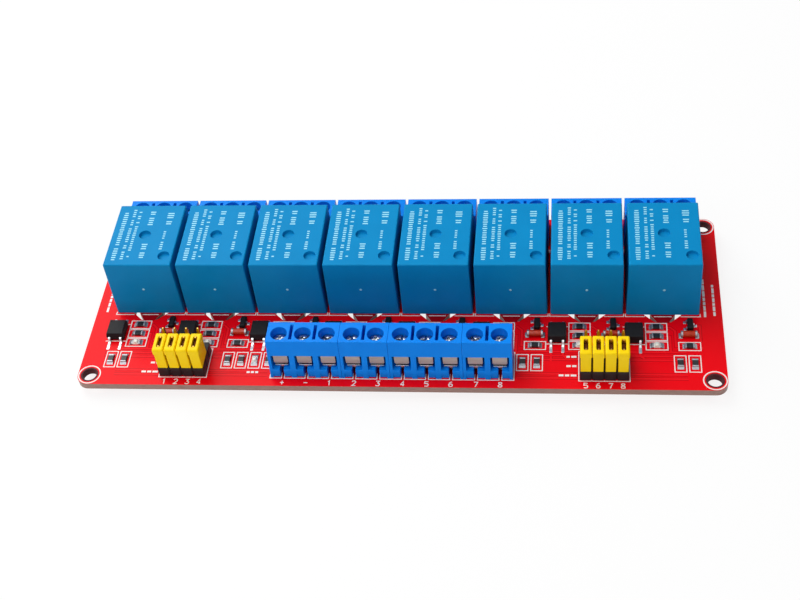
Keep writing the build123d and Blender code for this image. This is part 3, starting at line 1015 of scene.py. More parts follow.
    def build(self) -> None:
        """Makes the blocks, the screws and the wire guards of both rows."""
        rows = (TerminalRow("input", self.layout.inputs, 0.0, self.spare[0]),
                TerminalRow("output", self.layout.outputs, 180.0, self.spare[1]))
        chance = np.random.default_rng(self.screw_seed)
        head, guard, lip = self.screw_head(), self.wire_guard(), self.wire_lip()
        for row, blocks, turn, spare in rows:
            places: list[Array] = []
            shapes: dict[int, Skin] = {}
            for number, (low, high) in enumerate(blocks, 1):
                poles = self.poles(low, high)
                if len(poles) not in shapes:
                    shapes[len(poles)] = self.housing(low, high, spare)
                foot = high[1] if turn else low[1]
                place = ((low[0] + high[0]) / 2, foot, low[2])
                piece(f"{row}_block_{number}", shapes[len(poles)].at([place], turn), TERMINAL,
                      [f"{row}_terminal_{number}"])
                places.append(np.column_stack([poles, np.zeros((len(poles), 2))]) + place)
            spots = np.concatenate(places)
            inward = -self.well_setback if turn else self.well_setback
            angles = chance.uniform(*self.screw_turns, len(spots))
            piece(f"{row}_screw_heads", head.at(spots + (0, inward, self.chamber_top), angles), SCREW,
                  [f"{row}_terminal_screws"])
            piece(f"{row}_guard_strips", guard.at(spots, turn), STRIP,
                  [f"{row}_wire_guards"])
            piece(f"{row}_guard_lips", lip.at(spots, turn), TIN)
            dress(f"{row}_terminal_pins", TIN)


@dataclass
class Jumpers:
    """The two pin headers and the caps on them."""

    pitch: float = 2.54
    columns: int = 4
    rows: int = 3
    base_edge: float = 0.08
    notch: float = 0.32  # half across its corners
    notch_edge: float = 0.05
    pin: float = 0.64
    pin_corner: float = 0.05
    pin_steps: int = 2
    pin_taper: float = 0.55
    pin_foot: float = 0.12
    pin_tip: float = 0.2
    cap_wall: float = 0.45
    cap_top: float = 0.8
    cap_corner: float = 0.3
    cap_least_corner: float = 0.05
    chamfer: float = 0.1
    window: Point = (0.95, 3.1)
    window_corner: float = 0.42
    waist: float = 0.14  # how far the cap is drawn in below its collar
    collar: float = 1.1
    head: float = 0.42
    head_steps: int = 4
    nick: Triple = (0.55, 0.28, 1.0)  # half its mouth, depth into the side, and drop from the top
    edge: float = 0.1
    leaf: float = 0.25
    leaf_thickness: float = 0.2
    leaf_overhang: float = 0.3
    bridge_spare: float = 0.14
    bridge_gap: float = 0.06

    # Bends of a contact leaf: outwards, and height
    leaf_flare: ClassVar[tuple[Point, ...]] = ((0.0, 1.0), (0.036, 1.12), (0.0, 1.9))

    def base(self, node: str) -> Skin:
        """A header base: a block with a notch at the edge between every two pins.

        Args:
            node: the base's CAD node.

        Returns:
            The moulded base, in its place.
        """
        low, high = span(node)
        size = high - low
        form = block(tuple(size), self.base_edge, self.base_edge)
        notch = self.notch * np.array([[1, 0], [0, 1], [-1, 0], [0, -1]])
        tooth = prism(notch, -CUT, size[2] + CUT)
        columns, rows = centred(self.columns - 1) * self.pitch, centred(self.rows - 1) * self.pitch
        places = [(x, side * size[1] / 2, 0) for x in columns for side in (-1, 1)]
        places += [(side * size[0] / 2, y, 0) for y in rows for side in (-1, 1)]
        return carve(form, [tooth.at(places)], self.notch_edge).moved(*seat(low, high))

    def pin_places(self, node: str) -> Array:
        """Places of a header's pins at z = 0.

        Args:
            node: CAD node of the header's base.

        Returns:
            The places as (pins, 3).
        """
        x, y, _ = seat(*span(node))
        across, along = x + centred(self.columns) * self.pitch, y + centred(self.rows) * self.pitch
        grid = np.stack(np.meshgrid(across, along), axis=-1).reshape(-1, 2)
        return np.column_stack([grid, np.zeros(len(grid))])

    def cap(self, size: Array) -> Skin:
        """A cap on z = 0: a hollow block with a collar, a round head, an oblong window and two nicks.

        Its outline is drawn in by the waist below the collar, and by head (1 - cos b) at the height
        top - head (1 - sin b) as the angle b goes from 0 to a right angle.

        Args:
            size: length of the cap's node along x, y and z.

        Returns:
            The moulded cap.
        """
        sx, sy, sz = size
        wall, room, lip = self.cap_wall, sz - self.cap_top, self.chamfer
        bend = np.linspace(0, np.pi / 2, self.head_steps + 1)
        inset = np.concatenate([[self.waist + lip, self.waist, self.waist, 0.0],
                                self.head * (1 - np.cos(bend))])
        shoulder = sz - self.head - self.collar
        height = np.concatenate([[0.0, lip, shoulder - lip, shoulder], sz - self.head * (1 - np.sin(bend))])
        form = tower((sx, sy), inset, height, self.cap_corner, self.cap_least_corner)
        hollow = box(wall - sx / 2, sx / 2 - wall, wall - sy / 2, sy / 2 - wall, -CUT, room)
        window = prism(rounded(*self.window, self.window_corner), room - OVERLAP, sz + CUT)
        width, deep, drop = self.nick
        wedge = prism(np.array([[-deep, 0], [CUT, -width], [CUT, width]]), sz - drop, sz + CUT)
        nicks = wedge.at([(sx / 2, 0, 0), (-sx / 2, 0, 0)], (0.0, 180.0))
        return carve(form, [hollow, window, nicks], self.edge)

    def clip(self, size: Array) -> Skin:
        """A contact on z = 0: two leaves with flared ends beside the pins, and a bridge above.

        Args:
            size: length of the cap's node along x, y and z.

        Returns:
            The contact.
        """
        room = size[2] - self.cap_top
        middle = (self.pin + self.leaf) / 2
        line = [(middle + out, z) for out, z in (*self.leaf_flare, (0.0, room))]
        leaf = strip(line, self.pitch + self.pin + self.leaf_overhang, self.leaf_thickness).laid((1, 0, 2))
        leaf = Skin(leaf.points, leaf.corners[::-1], leaf.sizes[::-1])
        across = self.pin / 2 + self.bridge_spare
        along = (self.pitch - self.pin) / 2 - self.bridge_gap
        return leaf.paired() + box(-across, across, -along, along, room - self.leaf, room)

    def build(self) -> None:
        """Makes the bases, the pins, and each cap with its clip on its own body."""
        places = []
        for node in HEADERS:
            piece(node.replace("base", "block"), self.base(node), HEADER, [node])
            places.append(self.pin_places(node))
        top = span("header_pins")[1][2]
        post = tower((self.pin, self.pin), (self.pin_foot, 0.0, 0.0, self.pin_tip),
                     (0.0, self.pin_taper, top - self.pin_taper, top), self.pin_corner, self.pin_corner,
                     self.pin_steps)
        piece("header_pin_field", post.at(np.concatenate(places)), GOLD, ["header_pins"])
        low, high = span("jumper_cap_1")
        cap_form, clip_form = self.cap(high - low), self.clip(high - low)
        for number in CHANNELS:
            place = [seat(*span(f"jumper_cap_{number}"))]
            body = f"{Body.JUMPER.value}{number}"
            piece(f"cap_{number}", cap_form.at(place), CAP, [f"jumper_cap_{number}"], body)
            # The clip's bronze is painted dark: painted shade for the inside of the cap
            piece(f"clip_{number}", clip_form.at(place), SHADED_BRONZE,
                  [f"jumper_clip_{number}"], body)


@dataclass
class SmallParts:
    """The surface parts of every channel and of the board's corners."""

    layout: Layout
    opto_place: Point = (-6.25, 6.0)
    column_across: float = -1.52
    column_ahead: Triple = (3.6, 6.2, 8.8)
    transistor_place: Point = (5.6, 3.15)
    diode_place: Point = (5.2, 6.0)
    base_resistor_place: Point = (5.25, 8.9)
    upright_setback: float = 4.7
    upright_pitch: float = 3.0
    upright_left: float = 1.3
    upright_right: float = 1.9
    upright_inset: float = 6.4
    chip: Point = (2.0, 1.25)
    resistor_height: float = 0.55
    end: float = 0.34
    end_edge: float = 0.06
    core_tuck: float = 0.1
    core_trim: Point = (0.04, 0.03)  # off a chip's width and height, between its ends
    core_corner: float = 0.04
    solder_tuck: float = 0.05
    solder_reach: float = 0.55
    solder_rise: Point = (0.02, 0.34)  # thickness at the outer edge, and climb
    solder_spare: float = 0.06
    lamp_height: float = 0.8
    lamp_end: float = 0.4
    lamp_floor: float = 0.36
    lamp_trim: float = 0.03
    dome_foot: float = 0.34
    dome_length: float = 1.15
    dome_trim: float = 0.12
    dome_round: float = 0.3
    dome_lean: float = 0.05
    standoff: float = 0.1
    package_corner: float = 0.1
    opto: Triple = (3.9, 4.4, 2.0)
    opto_slope: float = 0.16
    dot: Point = (0.3, 0.06)  # radius and depth of the dot at the first lead
    dot_inset: Point = (0.75, 0.8)  # from the left side and the rear
    opto_lead: Point = (0.45, 0.2)  # width and thickness
    opto_lead_across: float = 1.27
    opto_pad: Triple = (0.66, 2.3, 0.07)
    opto_pad_out: float = 1.55
    opto_short_pad: Triple = (0.66, 1.2, 0.07)
    opto_short_pad_out: float = 1.0
    opto_pad_edges: Point = (0.1, 0.06)  # radius of the corners and of the top edge
    transistor: Triple = (1.3, 2.9, 1.0)
    transistor_slope: float = 0.12
    transistor_lead: Point = (0.42, 0.14)
    transistor_lead_across: float = 0.95
    transistor_pad: Triple = (0.75, 0.75, 0.06)
    transistor_pad_out: float = 0.4
    transistor_pad_edges: Point = (0.08, 0.05)
    diode: Point = (3.5, 1.45)  # length and diameter
    diode_faces: int = 20
    dot_faces: int = 20
    corner_steps: int = 2
    solder_steps: int = 5
    dome_steps: int = 4
    diode_solder: Triple = (0.9, 1.5, 0.2)
    diode_solder_edges: Point = (0.2, 0.16)
    diode_solder_in: float = 0.05

    # Bends of a lead: out from the package, and height
    opto_bend: ClassVar[tuple[Point, ...]] = (
        (0, 1.05), (-0.32, 1.05), (-0.42, 0.95), (-0.5, 0.24), (-0.62, 0.11), (-1.5, 0.1))
    transistor_bend: ClassVar[tuple[Point, ...]] = (
        (0, 0.55), (-0.14, 0.55), (-0.2, 0.48), (-0.24, 0.16), (-0.3, 0.07), (-0.55, 0.07))
    # Profile of a package: share of its slope, more at the top edge, and share of its height
    package_lean: ClassVar[tuple[float, ...]] = (0.7, 0.0, 0.0, 1.0, 1.0, 1.0)
    package_edge: ClassVar[tuple[float, ...]] = (0.0, 0.0, 0.0, 0.0, 0.05, 0.14)
    package_rise: ClassVar[tuple[float, ...]] = (0.0, 0.47, 0.53, 0.95, 0.985, 1.0)
    # Profiles of a diode: share of its radius, and distance from its middle or its end
    tube_share: ClassVar[tuple[float, ...]] = (0.4, 0.9, 0.94, 0.9, 0.4)
    tube_along: ClassVar[tuple[float, ...]] = (-1.4, -1.3, 0.0, 1.3, 1.4)
    cup_share: ClassVar[tuple[float, ...]] = (0.8, 1.0, 1.0, 0.86)
    cup_along: ClassVar[tuple[float, ...]] = (0.0, 0.1, 0.46, 0.52)

    def upright_x(self) -> tuple[list[float], float]:
        """Middles of the upright chips along the board.

        Returns:
            The middles of the resistors, and that of the power lamp.
        """
        left = float(self.layout.inputs[0][0][0]) - self.upright_left
        right = float(self.layout.inputs[-1][1][0]) + self.upright_right
        end = float(self.layout.board[1][0]) - self.upright_inset
        step = self.upright_pitch
        row = [left, left - 2 * step, left - 3 * step, right, right + step]
        row += [side * x for side in (-1, 1) for x in (end, end - step)]
        return row, left - step

    def upright_places(self, xs: Sequence[float]) -> Array:
        """Places of upright chips on the board."""
        return np.array([(x, self.layout.foot + self.upright_setback, self.layout.top) for x in xs])

    def package(self, size: Triple, slope: float) -> Skin:
        """A moulded package: wide at its parting line, leaning in above and below it.

        Args:
            size: length along x, y and z.
            slope: how far the sides lean in.

        Returns:
            The closed package on z = 0.
        """
        inset = slope * np.array(self.package_lean) + self.package_edge
        height = size[2] * np.array(self.package_rise)
        return tower(size[:2], inset, height, self.package_corner, self.package_corner,
                     self.corner_steps)

    def chip_ends(self, height: float) -> Skin:
        """The two plated ends of a chip that lies along x.

        Args:
            height: height of the ends.

        Returns:
            Both ends on z = 0.
        """
        sx, sy = self.chip
        cup = block((self.end, sy, height), self.end_edge, self.end_edge)
        return cup.at([(self.end / 2 - sx / 2, 0, 0), (sx / 2 - self.end / 2, 0, 0)])

    def chip_solder(self) -> Skin:
        """Solder on the pads past both ends of a chip.

        It climbs towards the end by the square of the way from its outer edge.

        Returns:
            Both joints on z = 0.
        """
        sx, sy = self.chip
        thin, climb = self.solder_rise
        run = np.linspace(0, 1, self.solder_steps)
        start, reach = sx / 2 - self.solder_tuck, self.solder_reach
        profile = np.column_stack([start + reach * run, thin + climb * (1 - run) ** 2])
        section = np.concatenate([[[start, 0.0]], [[start + reach, 0.0]], profile[::-1]])
        half = sy / 2 + self.solder_spare
        return prism(section, -half, half).tipped().paired()

    def build_chips(self) -> None:
        """Makes the resistors and the lamps, with their ends and their solder."""
        lay = self.layout
        flat = np.concatenate([lay.in_channels(*self.base_resistor_place),
                               *(lay.in_channels(self.column_across, a) for a in self.column_ahead[:2])])
        xs, lamp_x = self.upright_x()
        upright, power = self.upright_places(xs), self.upright_places([lamp_x])
        lamps = lay.in_channels(self.column_across, self.column_ahead[2])

        sx, sy = self.chip
        between = sx - 2 * self.end + self.core_tuck
        trim_y, trim_z = self.core_trim
        core = block((between, sy - trim_y, self.resistor_height - trim_z), self.core_corner, self.end_edge)
        piece("resistor_chips", core.at(flat) + core.at(upright, 90.0), GLAZE,
              ["chip_resistors"])
        ends, lamp_ends = self.chip_ends(self.resistor_height), self.chip_ends(self.lamp_end)
        tin = ends.at(flat) + ends.at(upright, 90.0) + lamp_ends.at(lamps) + lamp_ends.at(power, 90.0)
        piece("chip_end_caps", tin, MATT_TIN)
        solder = self.chip_solder()
        every = solder.at(np.concatenate([flat, lamps])) + solder.at(np.concatenate([upright, power]), 90.0)
        piece("chip_solder", every, MATT_TIN)

        floor = block((between, sy - self.lamp_trim, self.lamp_floor), self.core_corner, self.lamp_trim)
        dome = block((self.dome_length, sy - self.dome_trim, self.lamp_height - self.dome_foot),
                     self.dome_round, self.dome_round, self.dome_lean, steps=self.dome_steps)
        dome = dome.moved(z=self.dome_foot)
        piece("lamp_bases", floor.at(lamps) + floor.at(power, 90.0), CERAMIC)
        piece("channel_lamp_lenses", dome.at(lamps), LENS, ["channel_lamps"])
        piece("power_lamp_lens", dome.at(power, 90.0), LENS, ["power_lamp"])

    def build_optocouplers(self) -> None:
        """Makes the optocouplers, their bent leads and the solder under them."""
        spots = self.layout.in_channels(*self.opto_place)
        wide, long, tall = self.opto
        radius, depth = self.dot
        dot = lathe([radius, radius], [tall - depth, tall + CUT], self.dot_faces)
        dot = dot.moved(-wide / 2 + self.dot_inset[0], long / 2 - self.dot_inset[1])
        shell = carve(self.package(self.opto, self.opto_slope), [dot])
        piece("optocoupler_shells", shell.at(spots + (0, 0, self.standoff)), EPOXY,
              ["optocouplers"])
        sides = (-self.opto_lead_across, self.opto_lead_across)
        lead = strip(self.opto_bend, *self.opto_lead).moved(0, -long / 2)
        pair = lead.at([(x, 0, 0) for x in sides])
        pads = block(self.opto_pad, *self.opto_pad_edges)
        pads = pads.at([(x, -long / 2 - self.opto_pad_out, 0) for x in sides])
        short = block(self.opto_short_pad, *self.opto_pad_edges)
        short = short.at([(x, long / 2 + self.opto_short_pad_out, 0) for x in sides])
        piece("optocoupler_gull_leads", (pair.paired() + pads + short).at(spots), TIN,
              ["optocoupler_leads"])

    def build_transistors(self) -> None:
        """Makes the transistors, with two leads on one side and one on the other."""
        spots = self.layout.in_channels(*self.transistor_place)
        shell = self.package(self.transistor, self.transistor_slope)
        piece("transistor_shells", shell.at(spots + (0, 0, self.standoff)), EPOXY,
              ["transistors"])
        half, across = self.transistor[0] / 2, self.transistor_lead_across
        leg = strip(self.transistor_bend, *self.transistor_lead).moved(0, -half)
        foot = block(self.transistor_pad, *self.transistor_pad_edges)
        foot = foot.moved(0, -half - self.transistor_pad_out)
        claw = (leg + foot).turned(-90.0)
        legs = claw.at([(0, -across, 0), (0, across, 0)]) + claw.turned(180.0)
        piece("transistor_gull_leads", legs.at(spots), TIN, ["transistor_leads"])

    def build_diodes(self) -> None:
        """Makes the diodes' glass tubes, their end cups and their solder."""
        spots = self.layout.in_channels(*self.diode_place)
        length, width = self.diode
        r = width / 2
        tube = lathe(r * np.array(self.tube_share), self.tube_along, self.diode_faces)
        piece("diode_tubes", tube.laid((2, 0, 1)).moved(z=r).at(spots), GLASS, ["diodes"])
        cup = lathe(r * np.array(self.cup_share), np.array(self.cup_along) - length / 2, self.diode_faces)
        blob = block(self.diode_solder, *self.diode_solder_edges).moved(self.diode_solder_in - length / 2)
        ends = cup.laid((2, 0, 1)).moved(z=r) + blob
        piece("diode_end_caps", ends.paired().at(spots), MATT_TIN)

    def build(self) -> None:
        """Makes every kind of part."""
        self.build_chips()
        self.build_optocouplers()
        self.build_transistors()
        self.build_diodes()


@dataclass
class Board:
    """The board's own dressing: print, copper, pads and solder."""

    layout: Layout
    pitch: float = 5.08
    header_pitch: float = 2.54
    header_columns: int = 4
    line: float = 0.2
    dash: float = 0.5
    ink: float = 0.03
    copper: float = 0.015
    gap: float = 0.006
    sunk: float = 0.01  # how far print and copper reach into the board
    hole: float = 3.2
    hole_inset: float = 2.6
    hole_print: Point = (2.5, 2.24)  # outer and inner radius
    lining: float = 0.04
    lining_rim: Point = (0.34, -0.02)  # outer and inner edge, from the hole's wall
    numeral: float = 1.25
    numeral_share: float = 0.62
    numeral_gap: float = 0.3
    relay_frame: float = 7.88
    relay_frame_front: float = 0.55
    relay_frame_rear: float = 0.3
    relay_frame_turn: float = 0.8
    slot_sides: Point = (1.85, 3.75)  # inner and outer side of the isolation slots
    chip_frame: Point = (2.25, 1.12)  # half along x and y
    upright_frame: Point = (1.2, 2.2)
    opto_line: float = 2.3
    opto_gap: float = 0.25
    input_front: float = 0.15
    input_end: float = 0.25
    block_rear: float = 0.3
    output_end: float = 0.1
    turn_in: float = 1.5
    beside_slit: float = 0.3
    header_frame: Point = (0.22, 0.26)  # out from the base along x and y
    header_tick: float = 0.05
    dash_space: float = 0.28
    header_dash_start: Point = (0.7, 1.2)  # left of the base, and behind its front
    lamp_dash_ahead: float = 3.3
    lamp_dash: float = 0.66
    end_dash_start: float = -6.2
    end_dashes: int = 8
    end_dash: Point = (0.9, 1.9)  # least and most, with the space before it
    end_seed: int = 5
    copper_width: float = 0.45
    copper_gap: float = 0.8
    long_run_ends: Point = (8.0, 1.0)  # from the board's end and from the input terminals
    pin_halves: Point = (0.45, 0.32)  # half the width of soldered pins and of header pins
    pad_reach: Point = (0.95, 0.6)  # past those pins
    pad: float = 0.04
    solder_height: float = 1.45
    solder_top: float = 0.1
    solder_inset: float = 0.15
    upper_inset: float = 0.2
    pad_hole: Point = (0.9, 1.1)  # share of a pin's half width, below and above the board
    solder_faces: int = 16
    pad_faces: int = 24
    solder_steps: int = 6
    foot_within: float = 0.01  # a pin's foot is as near as this to the lowest plane
    corner_within: float = 0.02  # and its corners to where they should be
    output_run: Point = (3.0, 0.04)  # width, and height below the board
    tinned_run: Point = (1.5, 0.12)  # width, and height below the board
    output_pin_in: float = 4.0
    contact_across: float = 6.0
    contact_in: float = 2.7
    common_in: float = 2.3
    run_bend: float = 1.6
    tinned_short: float = 0.2
    tinned_common: Point = (4.6, 2.0)  # behind the relay's front, and short of the output pin

    # Lengths of dashes beside a header, and where others start
    header_dashes: ClassVar[tuple[tuple[float, ...], ...]] = ((1.2, 0.9, 1.0), (0.9, 0.9), (1.1, 0.7))
    lamp_dashes: ClassVar[tuple[float, ...]] = (-1.25, -0.33, 0.59)
    end_dash_x: ClassVar[tuple[float, ...]] = (-66.7, 65.4, 67.4)
    # Copper: y of runs along the board, and bends of feeds across and ahead of a relay
    long_runs: ClassVar[tuple[float, ...]] = (-14.9, -16.0, -17.1, -21.0, -22.1)
    feeds: ClassVar[tuple[tuple[Point, ...], ...]] = (
        ((-5.0, 10.9), (-5.0, 11.6), (-4.2, 12.4)),
        ((-7.5, 10.9), (-7.5, 13.2)),
        ((-4.9, 2.2), (-3.9, 3.6), (-2.9, 3.6)),
        ((-0.2, 3.6), (1.4, 3.6), (2.4, 4.6), (2.4, 8.9), (4.0, 8.9)),
        ((6.6, 3.15), (7.6, 3.15), (7.6, 7.4), (6.7, 8.9)),
        ((-0.2, 6.2), (1.3, 6.2), (1.3, 10.6)),
    )
    # Mask with no copper round a common pin, and dark mask in the slit of a pole as painted shade
    bare_patch: ClassVar[tuple[Point, ...]] = (
        (-1.15, -2.3), (1.15, -2.3), (2.5, 0.0), (2.5, 2.4), (-2.5, 2.4), (-2.5, 0.0))
    slit_painted_shade: ClassVar[tuple[float, ...]] = (-0.5, 0.1, 0.5, 3.4)
    # Strokes of plain numerals and signs in a square of one
    strokes: ClassVar[dict[str, list[list[Point]]]] = {
        "+": [[(0.0, 0.5), (1.0, 0.5)], [(0.5, 0.12), (0.5, 0.88)]],
        "-": [[(0.0, 0.5), (1.0, 0.5)]],
        "1": [[(0.15, 0.75), (0.5, 1.0), (0.5, 0.0)]],
        "2": [[(0.0, 0.82), (0.25, 1.0), (0.8, 1.0), (1.0, 0.8), (0.9, 0.58), (0.05, 0.0), (1.0, 0.0)]],
        "3": [[(0.0, 1.0), (0.95, 1.0), (0.5, 0.6), (0.95, 0.45), (1.0, 0.2), (0.75, 0.0), (0.2, 0.0),
               (0.0, 0.15)]],
        "4": [[(0.75, 0.0), (0.75, 1.0), (0.0, 0.3)], [(0.0, 0.3), (1.0, 0.3)]],
        "5": [[(1.0, 1.0), (0.05, 1.0), (0.0, 0.58), (0.7, 0.62), (1.0, 0.4), (0.95, 0.12), (0.7, 0.0),
               (0.0, 0.05)]],
        "6": [[(0.85, 1.0), (0.3, 0.85), (0.0, 0.4), (0.1, 0.08), (0.5, 0.0), (0.95, 0.1), (1.0, 0.35),
               (0.7, 0.55), (0.15, 0.5)]],
        "7": [[(0.0, 1.0), (1.0, 1.0), (0.4, 0.0)]],
        "8": [[(0.5, 0.54), (0.9, 0.72), (0.88, 0.92), (0.5, 1.0), (0.12, 0.92), (0.1, 0.72), (0.5, 0.54)],
              [(0.5, 0.54), (0.0, 0.3), (0.05, 0.08), (0.5, 0.0), (0.95, 0.08), (1.0, 0.3), (0.5, 0.54)]],
    }

    def sign(self, mark: str, x: float) -> list[Array]:
        """One plain numeral or sign at the front edge: its strokes are scaled, and centred on x.

        Args:
            mark: the numeral or sign.
            x: its middle.

        Returns:
            The lines of its strokes.
        """
        wide, foot = self.numeral * self.numeral_share, float(self.layout.board[0][1]) + self.numeral_gap
        return [np.asarray(stroke) * (wide, self.numeral) + (x - wide / 2, foot)
                for stroke in self.strokes[mark]]

    def channel_lines(self, parts: SmallParts, x: float) -> list[Line]:
        """The printed lines of one channel: the relay's outline and a frame for each part.

        Args:
            parts: the small parts, for their places.
            x: the channel's middle.

        Returns:
            The lines.
        """
        lay = self.layout
        near, far = lay.relay_front - self.relay_frame_front, lay.relay_rear + self.relay_frame_rear
        side, back = self.relay_frame, self.relay_frame_turn
        inner, outer = self.slot_sides
        lines: list[Line] = [
            [(x - outer, near), (x - side, near), (x - side, near + back)],
            [(x + outer, near), (x + side, near), (x + side, near + back)],
            [(x - side, far - back), (x - side, far), (x + side, far), (x + side, far - back)],
            [(x - inner, near), (x + inner, near)],
        ]
        spots = [(parts.column_across, ahead) for ahead in parts.column_ahead] + [parts.base_resistor_place]
        lines += [outline_of(x + across, lay.relay_front - ahead, *self.chip_frame)
                  for across, ahead in spots]
        middle, ahead = x + parts.opto_place[0], lay.relay_front - parts.opto_place[1]
        rim = parts.opto[1] / 2 + self.opto_gap
        lines += [[(middle - self.opto_line, y), (middle + self.opto_line, y)]
                  for y in (ahead - rim, ahead + rim)]
        return lines

    def poles(self) -> Array:
        """The middle of every pole along the input terminals."""
        return np.concatenate([low[0] + (np.arange(round((high[0] - low[0]) / self.pitch)) + 0.5) * self.pitch
                               for low, high in self.layout.inputs])

    def terminal_lines(self) -> list[Line]:
        """The line round the input terminals, turned in beside the slit of every pole, and their signs.

        Returns:
            These lines, and the one behind each output block.
        """
        lay = self.layout
        front, rear = lay.foot - self.input_front, lay.inputs[0][1][1] + self.block_rear
        first, last = lay.inputs[0][0][0] - self.input_end, lay.inputs[-1][1][0] + self.input_end
        deep = front + self.turn_in
        poles = self.poles()
        left, right = poles - self.beside_slit, poles + self.beside_slit
        lines: list[Line] = [[(a, deep), (a, front), (b, front), (b, deep)]
                             for a, b in zip(right[:-1], left[1:])]
        lines.append([(left[0], deep), (left[0], front), (first, front), (first, rear), (last, rear),
                      (last, front), (right[-1], front), (right[-1], deep)])
        for mark, x in zip("+-12345678", poles):
            lines += self.sign(mark, x)
        lines += [[(low[0] - self.output_end, high[1] + self.block_rear),
                   (high[0] + self.output_end, high[1] + self.block_rear)] for low, high in lay.outputs]
        return lines

    def header_lines(self) -> list[Line]:
        """The frame of each header, ticks between its columns, and the columns' numerals.

        Returns:
            The lines.
        """
        lines: list[Line] = []
        out_x, out_y = self.header_frame
        for number, node in enumerate(HEADERS):
            low, high = span(node)
            x, y = (low[0] + high[0]) / 2, (low[1] + high[1]) / 2
            lines.append(outline_of(x, y, (high[0] - low[0]) / 2 + out_x, (high[1] - low[1]) / 2 + out_y))
            between = x + centred(self.header_columns - 1) * self.header_pitch
            lines += [[(tick, low[1] - out_y), (tick, low[1] - self.header_tick)] for tick in between]
            columns = x + centred(self.header_columns) * self.header_pitch
            for column, middle in enumerate(columns, 1):
                lines += self.sign(str(self.header_columns * number + column), middle)
        return lines

    def dashes(self, parts: SmallParts) -> list[Line]:
        """Plain printed dashes: beside the headers, by the power lamp and along the board's ends.

        Args:
            parts: the small parts, for the power lamp's place.

        Returns:
            The dashes.
        """
        space = self.dash_space
        lines: list[Line] = []
        for node in HEADERS:
            low = span(node)[0]
            start, foot = low[0] - self.header_dash_start[0], low[1] + self.header_dash_start[1]
            for row, lengths in enumerate(self.header_dashes):
                ends = start - np.cumsum((0.0, *(length + space for length in lengths[:-1])))
                y = foot + row * self.header_pitch
                lines += [[(end - length, y), (end, y)] for end, length in zip(ends, lengths)]
        lamp = parts.upright_x()[1]
        y = self.layout.foot + parts.upright_setback - self.lamp_dash_ahead
        lines += [[(lamp + dash, y), (lamp + dash + self.lamp_dash, y)] for dash in self.lamp_dashes]
        chance = np.random.default_rng(self.end_seed)
        for x in self.end_dash_x:
            ends = self.end_dash_start + np.cumsum(chance.uniform(*self.end_dash, self.end_dashes))
            lines += [[(x, a + space), (x, b)] for a, b in zip(ends[:-1], ends[1:])]
        return lines

    def traces(self) -> list[Line]:
        """Runs of copper under the mask: the feeds of each channel and the lines along the board.

        Returns:
            The middle lines of the runs.
        """
        lay = self.layout
        runs: list[Line] = [[(x + across, lay.relay_front - ahead) for across, ahead in feed]
                            for x in lay.channel_x for feed in self.feeds]
        left, right = lay.inputs[0][0][0], lay.inputs[-1][1][0]
        low, high = lay.board
        outer, inner = self.long_run_ends
        for y in self.long_runs:
            runs += [[(low[0] + outer, y), (left - inner, y)], [(right + inner, y), (high[0] - outer, y)]]
        return runs

    def joints(self) -> Array:
        """Where pins come through the board.

        A pin's middle is half its width from a corner of its foot, on the side where the opposite
        corner is as far away again.

        Returns:
            One row for each pin: x, y and half the pin's width.
        """
        wide, slim = self.pin_halves
        spots = []
        for node, half in (("relay_pins", wide), ("input_terminal_pins", wide),
                           ("output_terminal_pins", wide), ("header_pins", slim)):
            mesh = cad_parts[node].data
            points = np.empty(len(mesh.vertices) * 3)
            mesh.vertices.foreach_get("co", points)
            points = points.reshape(-1, 3) / MM
            feet = points[points[:, 2] < self.foot_within][:, :2]
            middle = np.unique(np.round(feet - half, 3), axis=0)
            near = np.abs(middle[:, None] - half - feet).max(axis=-1) < self.corner_within
            middle = middle[near.any(axis=1)]
            spots.append(np.column_stack([middle, np.full(len(middle), half)]))
        return np.concatenate(spots)

    def hole_places(self) -> list[Triple]:
        """The middles of the mounting holes at z = 0."""
        x, y = self.layout.board[1][:2] - self.hole_inset
        return [(sx * x, sy * y, 0) for sx in (-1, 1) for sy in (-1, 1)]

    def build_print(self, parts: SmallParts) -> None:
        """Prints the lines, the dashes and a ring round each mounting hole.

        Args:
            parts: the small parts, for their places.
        """
        lay = self.layout
        base, top = lay.top - self.sunk, lay.top + self.ink
        lines = [line for x in lay.channel_x for line in self.channel_lines(parts, x)]
        resistors, lamp = parts.upright_x()
        lines += [outline_of(x, lay.foot + parts.upright_setback, *self.upright_frame)
                  for x in (*resistors, lamp)]
        lines += self.terminal_lines() + self.header_lines()
        ink = ribbons(lines, self.line, base, top)
        ink += ribbons(self.dashes(parts), self.dash, base, top)
        ink += ring(*self.hole_print, base, top).at(self.hole_places())
        piece("board_print", ink, SILK)

    def build_copper(self) -> None:
        """Makes the masked runs, the gaps beside them, the patches with no copper and the painted shade under
        the terminals' slits.
        """
        lay = self.layout
        base, low, high = lay.top - self.sunk, lay.top + self.gap, lay.top + self.copper
        runs, poles = self.traces(), self.poles()
        piece("pour_gaps", ribbons(runs, self.copper_gap, base, low), GAP_MASK)
        piece("masked_copper", ribbons(runs, self.copper_width, base, high), TRACE)
        bare = prism(np.array(self.bare_patch), base, low).at(lay.in_channels(0.0, 0.0, 0.0))
        # Painted shade: dark mask on the board under the slit of every input pole
        slits = np.column_stack([poles, np.full((len(poles), 2), (lay.foot, 0.0))])
        bare += prism(rectangle(*self.slit_painted_shade), base, low).at(slits)
        piece("bare_patches_and_slit_shade", bare, BARE_MASK_AND_SLIT_SHADE)

    def build_holes(self) -> None:
        """Makes the walls and rims of the mounting holes: dark walls as painted shade, and a dark ring round
        each rim.
        """
        lay = self.layout
        radius = self.hole / 2
        outer, inner = self.lining_rim
        lining = ring(radius, radius - self.lining, lay.under, lay.top)
        lining += ring(radius + outer, radius + inner, lay.top - self.sunk, lay.top + self.gap)
        # Painted shade: the walls are coloured dark for the shade inside each hole, and a dark ring lies
        # round each rim
        piece("hole_walls_painted_shade", lining.at(self.hole_places()), HOLE_SHADE)

